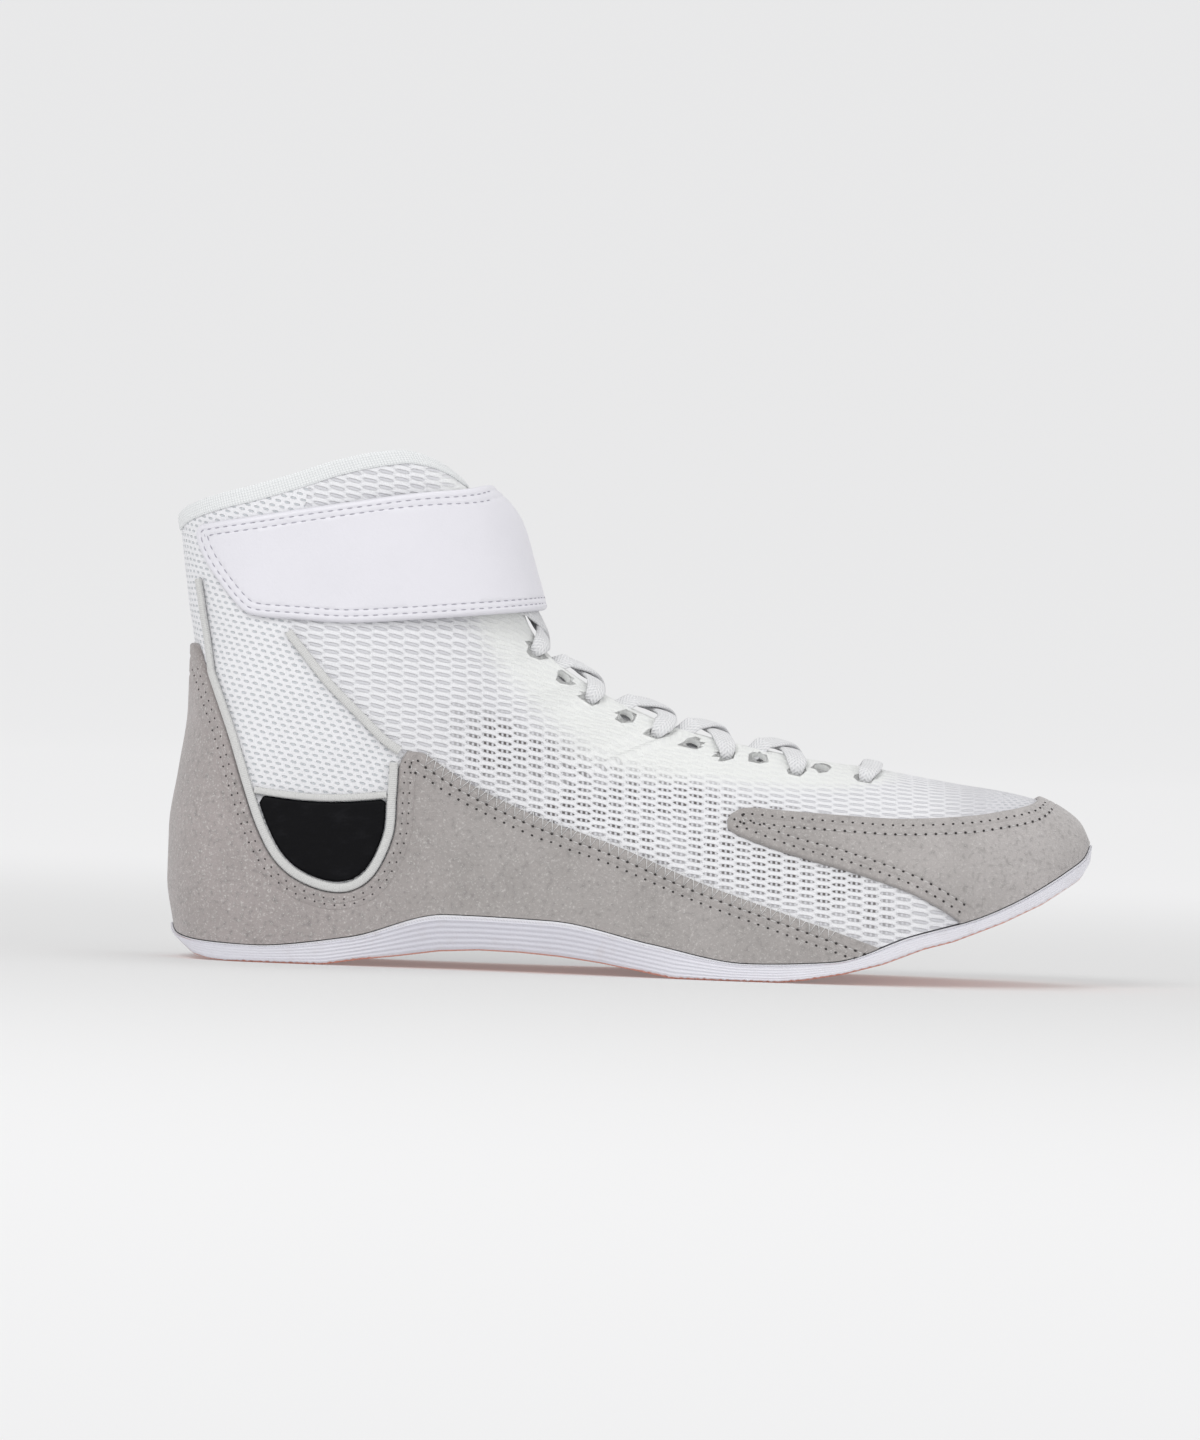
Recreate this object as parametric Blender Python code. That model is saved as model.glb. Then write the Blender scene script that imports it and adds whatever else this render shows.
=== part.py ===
"""Wrestling shoe, right shoe, empty, standing on its sole.

Metres. x runs from heel to toe, y to the inner side of the foot, z up.
The floor is z = 0 under the heel and the ball of the sole.
"""
import math

import bmesh
import bpy
import numpy as np

MM = 0.001
NAME = "wrestling_shoe"

LENGTH = 288.0 * MM
HEIGHT = 159.0 * MM
BALL_WIDTH = 97.0 * MM
HEEL_WIDTH = 64.0 * MM
SOLE_EDGE = 2.2 * MM
SUEDE = 1.3 * MM
WALL = 2.0 * MM
GAP = 0.3 * MM
SOLE_GAP = 0.45 * MM
COLLAR_RISE = 13.8 * MM
HEEL_ROUND = 33.0 * MM
HEEL_POWER = 2.1
ROOT = 8.0

STRAP_THICK = 2.1 * MM
STRAP_HOP = 2.9 * MM
STRAP_END = 1.75
TONGUE_THICK = 2.6 * MM
TONGUE_DEPTH = 3.3 * MM
INSOLE_THICK = 3.0 * MM
PIPING_WIDTH = 2.7 * MM
PIPING_HIGH = 1.9 * MM
BINDING_WIDTH = 4.0 * MM
BINDING_THICK = 0.9 * MM
LACE_WIDTH = 6.4 * MM
LACE_THICK = 1.5 * MM
LACE_DIP = 1.0 * MM
HOLE_RADIUS = 2.3 * MM
GROOVE_WIDTH = 2.0 * MM
GROOVE_DEPTH = 1.1 * MM
GROOVE_PITCH = 11.0 * MM

# A row per section of the last. A section is a cut from the back or bottom line to the crest line.
# bx tx are shares of the length, bz tz of the height, half side mid crest of half the ball width,
# half is the width at the foot and side the width higher up,
# round is the share of the section taken by the rounding at the crest.
COLUMNS = ("bx", "bz", "tx", "tz", "half", "side", "mid", "crest", "round", "power", "belly", "rise")
SECTIONS = (
    (0.002, 0.858, 0.318, 0.930, 0.63, 0.63, 0.04, 0.04, 0.40, 2.0, 0.00, 1.00),
    (0.008, 0.780, 0.354, 0.862, 0.63, 0.63, 0.04, 0.04, 0.40, 2.0, 0.00, 0.70),
    (0.015, 0.692, 0.373, 0.762, 0.64, 0.64, 0.04, 0.04, 0.42, 2.0, 0.01, 0.35),
    (0.023, 0.597, 0.390, 0.673, 0.66, 0.66, 0.04, 0.04, 0.45, 2.0, 0.02, 0.10),
    (0.023, 0.491, 0.418, 0.610, 0.69, 0.69, 0.04, 0.04, 0.48, 1.95, 0.03, 0.00),
    (0.015, 0.365, 0.455, 0.568, 0.69, 0.69, 0.04, 0.04, 0.50, 1.9, 0.04, 0.00),
    (0.007, 0.252, 0.488, 0.538, 0.68, 0.68, 0.04, 0.05, 0.52, 1.9, 0.05, 0.00),
    (0.007, 0.157, 0.519, 0.516, 0.67, 0.67, 0.04, 0.05, 0.54, 1.9, 0.06, 0.00),
    (0.015, 0.067, 0.547, 0.498, 0.66, 0.66, 0.04, 0.05, 0.56, 1.9, 0.07, 0.00),
    (0.021, 0.050, 0.561, 0.490, 0.66, 0.66, 0.04, 0.05, 0.57, 1.9, 0.07, 0.00),
    (0.047, 0.039, 0.575, 0.483, 0.66, 0.66, 0.04, 0.06, 0.58, 1.9, 0.08, 0.00),
    (0.106, 0.035, 0.595, 0.474, 0.66, 0.66, 0.04, 0.06, 0.61, 1.9, 0.08, 0.00),
    (0.203, 0.057, 0.620, 0.464, 0.66, 0.66, 0.02, 0.07, 0.66, 1.9, 0.08, 0.00),
    (0.307, 0.107, 0.648, 0.453, 0.64, 0.68, -0.025, 0.08, 0.76, 1.9, 0.08, 0.00),
    (0.418, 0.103, 0.682, 0.439, 0.69, 0.735, -0.075, 0.09, 0.88, 1.9, 0.06, 0.00),
    (0.526, 0.066, 0.720, 0.426, 0.81, 0.80, -0.07, 0.11, 0.97, 2.0, 0.04, 0.00),
    (0.627, 0.036, 0.766, 0.413, 0.93, 0.86, -0.02, 0.13, 1.00, 2.1, 0.03, 0.00),
    (0.717, 0.044, 0.811, 0.400, 0.94, 0.905, 0.02, 0.14, 1.00, 2.2, 0.02, 0.00),
    (0.800, 0.097, 0.856, 0.388, 0.87, 0.87, 0.06, 0.16, 1.00, 2.4, 0.02, 0.00),
    (0.870, 0.135, 0.899, 0.378, 0.745, 0.745, 0.10, 0.17, 1.00, 2.5, 0.02, 0.00),
    (0.925, 0.182, 0.936, 0.364, 0.59, 0.59, 0.135, 0.18, 1.00, 2.5, 0.01, 0.00),
    (0.962, 0.225, 0.964, 0.341, 0.455, 0.455, 0.165, 0.18, 1.00, 2.4, 0.00, 0.00),
    (0.983, 0.255, 0.982, 0.315, 0.295, 0.295, 0.18, 0.185, 1.00, 2.2, 0.00, 0.00),
    (0.992, 0.281, 0.992, 0.281, 0.00, 0.00, 0.185, 0.185, 1.00, 2.0, 0.00, 0.00),
)
LAST = len(SECTIONS) - 1

# Share of the collar line from the heel, share of the collar rise.
COLLAR = ((0.0, 0.0), (0.03, 0.17), (0.13, 0.36), (0.27, 0.51), (0.40, 0.68), (0.54, 0.89),
          (0.67, 0.99), (0.74, 1.0), (0.81, 0.90), (0.88, 0.67), (0.95, 0.29), (1.0, 0.0))

# Under side of the sole: share of the length, share of the height. Two runs lie on the floor.
UNDER = ((0.000, 0.060), (0.016, 0.038), (0.035, 0.011), (0.052, 0.003), (0.072, 0.0), (0.175, 0.0),
         (0.213, 0.012), (0.256, 0.022), (0.299, 0.034), (0.342, 0.039), (0.385, 0.038),
         (0.428, 0.033), (0.472, 0.024), (0.515, 0.011), (0.550, 0.0), (0.662, 0.0),
         (0.690, 0.007), (0.731, 0.022), (0.773, 0.044), (0.816, 0.076), (0.848, 0.095),
         (0.901, 0.137), (0.943, 0.176), (0.984, 0.224), (1.000, 0.258))

# Side of the sole from top to bottom: share of its height, share of the edge that it stands out.
SOLE_SIDE = ((1.00, 0.72), (0.90, 0.95), (0.62, 1.00), (0.54, 0.72), (0.43, 0.94), (0.33, 0.68),
             (0.15, 0.80), (0.00, 0.15))

# Outlines in the side view: share of the length, share of the height.
V_LINE = ((0.030, 0.612), (0.064, 0.452), (0.101, 0.258), (0.135, 0.173), (0.187, 0.140),
          (0.224, 0.168), (0.246, 0.249), (0.249, 0.330), (0.250, 0.396))
SUEDE_TOP = ((0.259, 0.422), (0.274, 0.418), (0.324, 0.362), (0.401, 0.299), (0.488, 0.247),
             (0.576, 0.184), (0.664, 0.132), (0.727, 0.097), (0.772, 0.070))
TOE_EDGE = ((0.941, 0.370), (0.929, 0.352), (0.896, 0.338), (0.853, 0.326), (0.789, 0.318),
            (0.724, 0.321), (0.659, 0.327), (0.622, 0.330), (0.606, 0.318), (0.602, 0.300),
            (0.611, 0.281), (0.661, 0.249), (0.726, 0.220), (0.792, 0.184), (0.825, 0.157),
            (0.852, 0.128))
WEDGE_LINE = ((0.127, 0.641), (0.139, 0.614), (0.169, 0.550), (0.203, 0.491), (0.231, 0.443),
              (0.250, 0.419))
STRAP_EDGE = ((0.330, 0.921), (0.260, 0.917), (0.173, 0.892), (0.087, 0.863), (0.039, 0.847),
              (0.029, 0.838), (0.027, 0.820), (0.035, 0.781), (0.052, 0.734), (0.074, 0.687),
              (0.091, 0.670), (0.135, 0.665), (0.189, 0.662), (0.242, 0.669), (0.328, 0.683),
              (0.440, 0.700))
GUSSET_TOP = 0.325
GUSSET_SINK = 0.010

# Laced eyelets from the toe to the ankle, in the side view.
LACED = ((0.750, 0.395), (0.676, 0.406), (0.600, 0.432), (0.524, 0.470), (0.452, 0.532),
         (0.391, 0.621), (0.352, 0.742))

# Bare eyelets nearer the slit: share of the length, distance from the crest.
BARE = ((0.703, 0.25), (0.635, 0.27), (0.563, 0.28), (0.491, 0.28), (0.422, 0.30))

# Slit of the throat: section, half width as a share of half the ball width.
SLIT = ((-0.2, 0.25), (2.0, 0.22), (5.0, 0.20), (9.0, 0.175), (12.0, 0.17), (14.0, 0.15),
        (15.2, 0.115), (15.6, 0.06))

# Tongue: section, half width as a share of half the ball width.
TONGUE = ((0.35, 0.46), (1.0, 0.50), (3.0, 0.50), (6.0, 0.47), (10.0, 0.44), (14.0, 0.38),
          (16.2, 0.30))

HALF = BALL_WIDTH / 2


def curve(rows, key):
    """A smooth curve through rows, with no overshoot. First column is the key."""
    rows = np.asarray(rows, float)
    x = rows[:, 0]
    y = rows[:, 1:]
    step = np.diff(x)[:, None]
    slope = np.diff(y, axis=0) / step
    tangent = np.zeros_like(y)
    same = slope[:-1] * slope[1:] > 0
    total = slope[:-1] + slope[1:]
    total = np.where(same, total, 1.0)
    tangent[1:-1] = np.where(same, 2 * slope[:-1] * slope[1:] / total, 0.0)
    tangent[0] = slope[0]
    tangent[-1] = slope[-1]
    key = np.clip(np.asarray(key, float), x[0], x[-1])
    i = np.clip(np.searchsorted(x, key, side="right") - 1, 0, len(x) - 2)
    h = step[i]
    f = ((key - x[i])[..., None]) / h
    a = (1 + 2 * f) * (1 - f) ** 2
    b = f * (1 - f) ** 2
    c = f * f * (3 - 2 * f)
    d = f * f * (f - 1)
    return a * y[i] + b * h * tangent[i] + c * y[i + 1] + d * h * tangent[i + 1]


SECTION_ROWS = [(k,) + row for k, row in enumerate(SECTIONS)]
BACK_ROWS = [(row[1], row[0]) for row in reversed(SECTIONS[:int(ROOT) + 1])]


def along(share):
    return (share - 0.5) * LENGTH


def section(s):
    values = curve(SECTION_ROWS, s)
    return {name: values[..., k] for k, name in enumerate(COLUMNS)}


def rounding(distance, radius, power):
    """Goes from 0 at no distance to 1 a little past the radius, with a soft start."""
    reach = np.clip(1 - distance / (radius * 1.12), 0, 1)
    return np.maximum(1 - reach ** (power + 0.6), 0) ** (1 / power)


def skin(s, u):
    """A point of the outer surface. u is 0 at the outer foot, 1 at the crest, 2 at the inner foot."""
    s = np.clip(np.asarray(s, float), 0, LAST)
    u = np.asarray(u, float)
    s, u = np.broadcast_arrays(s, u)
    side = np.where((u >= 0) & (u <= 1), -1.0, 1.0)
    w = np.where(u < 0, -u, np.where(u > 1, 2 - u, u))
    flip = w < 0
    side = np.where(flip, -side, side)
    w = np.abs(w)
    t = (1 - np.cos(math.pi * w)) / 2
    r = section(s)
    on_heel = along(curve(BACK_ROWS, r["bz"])[..., 0])
    bx = np.where(s <= ROOT, on_heel, along(r["bx"]))
    tx = along(r["tx"])
    bz = r["bz"] * HEIGHT
    tz = r["tz"] * HEIGHT
    x = bx + (tx - bx) * t
    z = bz + (tz - bz) * t + COLLAR_RISE * r["rise"] * curve(COLLAR, t)[..., 0]
    span = np.hypot(tx - bx, tz - bz) + 1e-9
    top = rounding(span * (1 - t), r["round"] * span, r["power"])
    heel = along(curve(BACK_ROWS, (bz + (tz - bz) * t) / HEIGHT)[..., 0])
    back = rounding(np.maximum(x - heel, 0), HEEL_ROUND, HEEL_POWER)
    up = np.clip(t / 0.55, 0, 1)
    wide = r["half"] + (r["side"] - r["half"]) * up * up * (3 - 2 * up)
    half = HALF * wide * (1 + r["belly"] * np.sin(math.pi * t))
    middle = r["crest"] + (r["mid"] - r["crest"]) * (1 - t) ** 2
    y = HALF * middle + side * half * top * back
    return np.stack([x, y, z], axis=-1)


def normal(s, u):
    """Outward direction of the surface."""
    s, u = np.broadcast_arrays(np.asarray(s, float), np.asarray(u, float))
    s = np.clip(s, 0, LAST - 0.04)
    e = 0.002
    closed = s <= ROOT
    u_low = np.where(closed, u - e, np.maximum(u - e, 0))
    u_high = np.where(closed, u + e, np.minimum(u + e, 2))
    s_low = np.where(closed, np.maximum(s - e, 0), s)
    s_high = np.where(closed, np.maximum(s, s_low + e), s + e)
    du = skin(s, u_high) - skin(s, u_low)
    ds = skin(s_high, u) - skin(s_low, u)
    n = np.cross(ds, du)
    foot = (s > ROOT - 0.01) & ((np.abs(u) < 0.01) | (np.abs(u) > 1.99))
    n[..., 2] = np.where(foot, 0.0, n[..., 2])
    return n / (np.linalg.norm(n, axis=-1, keepdims=True) + 1e-30)


def lifted(s, u, lift):
    s, u = np.broadcast_arrays(np.asarray(s, float), np.asarray(u, float))
    n = normal(s, u)
    tip = (s >= LAST - 1e-6)[..., None]
    ahead = np.array([0.97, 0.0, 0.24])
    n = np.where(tip, ahead, n)
    lift = np.asarray(lift, float)
    if lift.ndim:
        lift = lift[..., None]
    return skin(s, u) + n * lift


def find(x_share, z_share):
    """The section and the place across it, outer side, of a point in the side view."""
    target = np.array([along(x_share), z_share * HEIGHT])
    ss, uu = np.meshgrid(np.linspace(0, LAST - 0.5, 90), np.linspace(0.02, 0.99, 60), indexing="ij")
    p = skin(ss, uu)[..., [0, 2]] - target
    k = np.unravel_index(np.argmin((p ** 2).sum(-1)), ss.shape)
    s, u = ss[k], uu[k]
    for _ in range(12):
        e = 1e-4
        p = skin(s, u)[[0, 2]]
        js = (skin(s + e, u)[[0, 2]] - p) / e
        ju = (skin(s, min(u + e, 1.0))[[0, 2]] - p) / e
        step = np.linalg.lstsq(np.stack([js, ju], axis=1), target - p, rcond=None)[0]
        s = float(np.clip(s + np.clip(step[0], -0.5, 0.5), 0, LAST - 0.3))
        u = float(np.clip(u + np.clip(step[1], -0.05, 0.05), 0.01, 0.998))
    return s, u


def across(s, offset):
    """The place across section s whose distance from the crest, seen from above, is offset."""
    r = section(s)
    low, high = 0.0, 1.0
    for _ in range(40):
        w = (low + high) / 2
        y = skin(s, w)[1] - HALF * float(r["crest"])
        if -y > abs(offset):
            low = w
        else:
            high = w
    w = (low + high) / 2
    return w if offset < 0 else 2 - w


def place(x_share, offset):
    """The section and the place across it, outer side, at a distance from the crest."""
    low, high = 0.0, LAST - 1.0
    for _ in range(30):
        s = (low + high) / 2
        u = across(s, -offset)
        if skin(s, u)[0] < along(x_share):
            low = s
        else:
            high = s
    return s, u


# Objects

def clear():
    for obj in list(bpy.data.objects):
        bpy.data.objects.remove(obj, do_unlink=True)


def collection(name):
    group = bpy.data.collections.new(name)
    bpy.context.scene.collection.children.link(group)
    return group


clear()
PARTS = collection(NAME)
CUTTERS = collection("cutters")


def material(name, colour, rough):
    mat = bpy.data.materials.new(name)
    mat.use_nodes = True
    shader = mat.node_tree.nodes["Principled BSDF"]
    shader.inputs["Base Color"].default_value = (*colour, 1.0)
    shader.inputs["Roughness"].default_value = rough
    mat.diffuse_color = (*colour, 1.0)
    return mat


WHITE_RUBBER = material("white_rubber", (0.78, 0.77, 0.82), 0.55)
INSOLE_FOAM = material("insole_fabric", (0.55, 0.56, 0.58), 0.9)
MESH = material("white_mesh", (0.74, 0.74, 0.76), 0.8)
SUEDE_GREY = material("grey_suede", (0.40, 0.37, 0.36), 0.95)
BLACK = material("black_synthetic", (0.012, 0.012, 0.014), 0.4)
PIPING = material("white_piping", (0.66, 0.66, 0.66), 0.6)
KNIT = material("knit_binding", (0.72, 0.76, 0.75), 0.85)
TONGUE_CLOTH = material("tongue_fabric", (0.70, 0.70, 0.72), 0.85)
STRAP_WHITE = material("white_strap", (0.80, 0.80, 0.84), 0.45)
LACE_WHITE = material("white_lace", (0.84, 0.84, 0.84), 0.8)


def add(name, bm, mat, group=None):
    bmesh.ops.remove_doubles(bm, verts=bm.verts, dist=2e-6)
    bmesh.ops.dissolve_degenerate(bm, edges=bm.edges, dist=1e-6)
    bmesh.ops.recalc_face_normals(bm, faces=bm.faces)
    mesh = bpy.data.meshes.new(name)
    bm.to_mesh(mesh)
    bm.free()
    mesh.materials.append(mat)
    obj = bpy.data.objects.new(name, mesh)
    (group or PARTS).objects.link(obj)
    if group is CUTTERS:
        obj.hide_render = True
        obj.display_type = "WIRE"
    return obj


def cut(obj, cutter, how):
    mod = obj.modifiers.new(how.lower(), "BOOLEAN")
    mod.operation = how
    mod.solver = "EXACT"
    mod.object = cutter


def shell(outer, inner):
    """A closed wall between two grids of points. Coinciding edges of the outer grid are joined."""
    rows, cols = outer.shape[:2]
    for i in range(rows):
        same = np.linalg.norm(outer[i] - outer[i, 0], axis=1) < 1e-5
        outer[i][same] = outer[i, 0]
        inner[i][same] = inner[i, 0]
    index = {}
    out_pts, in_pts, ids = [], [], np.zeros((rows, cols), int)
    for i in range(rows):
        for j in range(cols):
            key = tuple(np.round(outer[i, j] / 2e-6).astype(int))
            if key not in index:
                index[key] = len(out_pts)
                out_pts.append(outer[i, j])
                in_pts.append(inner[i, j])
            ids[i, j] = index[key]
    bm = bmesh.new()
    top = [bm.verts.new(p) for p in out_pts]
    low = [bm.verts.new(p) for p in in_pts]
    edges = {}
    for i in range(rows - 1):
        for j in range(cols - 1):
            a, b, c, d = ids[i, j], ids[i + 1, j], ids[i + 1, j + 1], ids[i, j + 1]
            halves = ((a, b, c), (a, c, d)) if j < (cols - 1) / 2 else ((a, b, d), (b, c, d))
            for ring in halves:
                if len(set(ring)) < 3:
                    continue
                bm.faces.new([top[v] for v in ring])
                bm.faces.new([low[v] for v in reversed(ring)])
                for k, v in enumerate(ring):
                    if (v, ring[k - 1]) in edges:
                        del edges[(v, ring[k - 1])]
                    else:
                        edges[(ring[k - 1], v)] = True
    for a, b in edges:
        bm.faces.new([top[b], top[a], low[a], low[b]])
    return bm


def stack(*runs):
    return np.array(sorted(set(np.round(np.concatenate([np.asarray(r, float) for r in runs]), 4))))


STATIONS = stack(range(LAST + 1), (0.5, 3.5, 8.4, 9.5, 10.5, 11.7, 15.25, 16.4, 19.5, 20.5, 21.5, 22.5))
WAYS = 9
ACROSS = np.linspace(0, 2, 2 * WAYS + 1)


def body(low, high, stations=STATIONS, ways=ACROSS):
    s, u = np.meshgrid(stations, ways, indexing="ij")
    return shell(lifted(s, u, high), lifted(s, u, low))


def smooth_line(points, steps=3):
    p = np.asarray(points, float)
    key = np.concatenate([[0], np.cumsum(np.linalg.norm(np.diff(p, axis=0), axis=1) ** 0.5)])
    at = np.concatenate([np.linspace(key[i], key[i + 1], steps, endpoint=False)
                         for i in range(len(key) - 1)] + [key[-1:]])
    ext = np.vstack([2 * p[0] - p[1], p, 2 * p[-1] - p[-2]])
    out = []
    for a in at:
        i = int(np.clip(np.searchsorted(key, a, side="right") - 1, 0, len(p) - 2))
        f = (a - key[i]) / (key[i + 1] - key[i])
        p0, p1, p2, p3 = ext[i:i + 4]
        out.append(0.5 * ((2 * p1) + (p2 - p0) * f + (2 * p0 - 5 * p1 + 4 * p2 - p3) * f * f
                          + (3 * p1 - p0 - 3 * p2 + p3) * f ** 3))
    return np.array(out)


def side_line(rows, steps=3):
    """A smooth line in the side view, metres, from shares."""
    p = smooth_line(rows, steps)
    return np.stack([along(p[:, 0]), p[:, 1] * HEIGHT], axis=1)


def offset(line, distance):
    """The line moved to its left."""
    d = np.gradient(line, axis=0)
    d /= np.linalg.norm(d, axis=1, keepdims=True)
    return line + np.stack([-d[:, 1], d[:, 0]], axis=1) * distance


def prism(name, outline, low=-0.09, high=0.09):
    """A cutter: an outline of the side view, run across the shoe."""
    bm = bmesh.new()
    near = [bm.verts.new((x, low, z)) for x, z in outline]
    far = [bm.verts.new((x, high, z)) for x, z in outline]
    bm.faces.new(near)
    bm.faces.new(list(reversed(far)))
    for k in range(len(near)):
        bm.faces.new([near[k - 1], near[k], far[k], far[k - 1]])
    return add(name, bm, MESH, CUTTERS)


def sweep(points, normals, width, thick, sides=6):
    """A flat band along points, rounded edges, closed ends."""
    tangent = np.gradient(points, axis=0)
    tangent /= np.linalg.norm(tangent, axis=1, keepdims=True)
    bm = bmesh.new()
    rings = []
    for k, (p, t, n) in enumerate(zip(points, tangent, normals)):
        b = np.cross(n, t)
        b /= np.linalg.norm(b)
        n = np.cross(t, b)
        ring = []
        for j in range(sides):
            a = 2 * math.pi * (j + 0.5) / sides
            c, d = math.cos(a), math.sin(a)
            c = math.copysign(abs(c) ** 0.55, c)
            d = math.copysign(abs(d) ** 0.8, d)
            ring.append(bm.verts.new(p + b * c * width / 2 + n * d * thick / 2))
        rings.append(ring)
    for a, b in zip(rings[:-1], rings[1:]):
        for j in range(sides):
            bm.faces.new([a[j - 1], a[j], b[j], b[j - 1]])
    bm.faces.new(rings[0])
    bm.faces.new(list(reversed(rings[-1])))
    return bm


# Upper

upper = add("upper", body(-WALL, 0.0), MESH)


def add_slit(bm):
    """Runs along the crest line, wide as the slit, and reaches through the wall."""
    keys = stack((0, 0.6, 1.3, 2, 3, 4, 5, 6.5, 8), (9.5, 11, 12, 13, 14, 14.6, 15, 15.3, 15.5, 15.6))
    rings = []
    start = True
    for s in keys:
        width = HALF * float(curve(SLIT, s)[0])
        p = skin(s, 1.0)
        n = normal(s, 1.0)
        if start:
            ahead = skin(0.0, 1.0) - skin(0.6, 1.0)
            p = p + ahead / np.linalg.norm(ahead) * 14 * MM
            start = False
        ring = []
        for y, z in ((-1, -9), (1, -9), (1, 4), (-1, 4)):
            ring.append(bm.verts.new(p + np.array([0, y * width, 0]) + n * z * MM))
        rings.append(ring)
    for a, b in zip(rings[:-1], rings[1:]):
        for j in range(4):
            bm.faces.new([a[j - 1], a[j], b[j], b[j - 1]])
    bm.faces.new(rings[0])
    bm.faces.new(list(reversed(rings[-1])))


EYELETS = [find(*row) for row in LACED]
SPARES = [place(x, offset * HALF) for x, offset in BARE]


def add_holes(bm):
    for s, u in EYELETS + SPARES:
        for way in (u, 2 - u):
            p = skin(s, way)
            n = normal(s, way)
            a = np.cross(n, (0.0, 1.0, 0.0))
            a /= np.linalg.norm(a)
            b = np.cross(n, a)
            ends = []
            for depth in (-WALL * 1.5, WALL * 0.7):
                ring = [bm.verts.new(p + n * depth + HOLE_RADIUS * (a * math.cos(k * math.pi / 3)
                                                                    + b * math.sin(k * math.pi / 3)))
                        for k in range(6)]
                ends.append(ring)
            for k in range(6):
                bm.faces.new([ends[0][k - 1], ends[0][k], ends[1][k], ends[1][k - 1]])
            bm.faces.new(ends[0])
            bm.faces.new(list(reversed(ends[1])))


opening = bmesh.new()
add_slit(opening)
add_holes(opening)
cut(upper, add("throat_cutter", opening, MESH, CUTTERS), "DIFFERENCE")


# Sole

KEYS = STATIONS[STATIONS >= ROOT]
COUNT = len(KEYS)


def foot_ring(distance):
    """The line where the upper meets the sole, moved outward: outer side to the toe, and back."""
    distance = np.broadcast_to(distance, (COUNT,))
    outer = lifted(KEYS, np.zeros(COUNT), distance)
    inner = lifted(KEYS, np.full(COUNT, 2.0), distance)
    return np.vstack([outer, inner[-2:0:-1]])


FOOT = foot_ring(0.0)


def under(x):
    """Height of the under side of the sole: straight runs, so that the flats stay flat."""
    rows = np.asarray(UNDER)
    return np.interp(x, along(rows[:, 0]), rows[:, 1] * HEIGHT)


def rings_body(rings):
    """A closed body from rings that run round the sole; flat strips close the first and last."""
    bm = bmesh.new()
    made = [[bm.verts.new(p) for p in ring] for ring in rings]
    n = len(rings[0])
    for a, b in zip(made[:-1], made[1:]):
        for k in range(n):
            bm.faces.new([a[k - 1], a[k], b[k], b[k - 1]])
    for ring, way in ((made[0], 1), (made[-1], -1)):
        for k in range(COUNT - 1):
            pair = [ring[k], ring[k + 1], ring[(n - k - 1) % n], ring[(n - k) % n]]
            face = []
            for v in pair:
                if v not in face:
                    face.append(v)
            bm.faces.new(face[::way])
    return bm


def sole_rings():
    rings = []
    for share, out in SOLE_SIDE:
        ring = foot_ring(SOLE_EDGE * out)
        top = FOOT[:, 2] - SOLE_GAP
        low = under(ring[:, 0])
        ring[:, 2] = low + (top - low) * share
        rings.append(ring)
    return rings


outsole = add("outsole", rings_body(sole_rings()), WHITE_RUBBER)


def groove_cutter():
    """Shallow chevron grooves across the heel and the ball."""
    bm = bmesh.new()
    starts = [along(0.045) + k * GROOVE_PITCH for k in range(4)]
    starts += [along(0.50) + k * GROOVE_PITCH for k in range(12)]
    for x in starts:
        lean = 7 * MM
        points = []
        for y, dx in ((-0.07, -lean), (0.0, lean), (0.07, -lean)):
            z = float(under(x + dx * 0.4))
            points.append((x + dx, y, z))
        rings = []
        for px, y, z in points:
            slope = float(under(px + 2 * MM) - under(px - 2 * MM)) / (4 * MM)
            ring = []
            for side, deep in ((-1, -6 * MM), (1, -6 * MM), (1, GROOVE_DEPTH), (-1, GROOVE_DEPTH)):
                gx = px + side * GROOVE_WIDTH / 2
                ring.append(bm.verts.new((gx, y, z + side * slope * GROOVE_WIDTH / 2 + deep)))
            rings.append(ring)
        for a, b in zip(rings[:-1], rings[1:]):
            for j in range(4):
                bm.faces.new([a[j - 1], a[j], b[j], b[j - 1]])
        bm.faces.new(rings[0])
        bm.faces.new(list(reversed(rings[-1])))
    return add("groove_cutter", bm, MESH, CUTTERS)


cut(outsole, groove_cutter(), "DIFFERENCE")


def insole_rings():
    tip = np.clip((KEYS - 19) / 3, 0, 1)
    low = foot_ring(-WALL - (0.7 + 1.0 * tip) * MM)
    low[:, 2] = FOOT[:, 2]
    high = foot_ring(-WALL - (2.2 + 2.6 * tip) * MM)
    high[:, 2] = FOOT[:, 2] + INSOLE_THICK
    return [high, low]


insole = add("insole", rings_body(insole_rings()), INSOLE_FOAM)


# Suede overlays, cut between two forms of the upper's own surface

def overlay(name, mat, outline, low, high, side=0, stations=STATIONS):
    form = add(name, body(low, high, stations), mat)
    lows = {-1: -0.09, 0: -0.09, 1: 0.004}
    highs = {-1: -0.004, 0: 0.09, 1: 0.09}
    cut(form, prism(name + "_cutter", outline, lows[side], highs[side]), "INTERSECT")
    return form


v_line = side_line(V_LINE, 2)
top_line = side_line(SUEDE_TOP, 1)
FAR = 0.25
suede_outline = np.vstack([
    [(-FAR, v_line[0, 1] + 2 * MM)],
    v_line,
    top_line,
    [(top_line[-1, 0], -0.02), (-FAR, -0.02)],
])
heel_stations = STATIONS[(STATIONS >= 1.5) & (STATIONS <= 19)]
overlay("heel_side_panel", SUEDE_GREY, suede_outline, GAP, GAP + SUEDE, 0, heel_stations)

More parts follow.
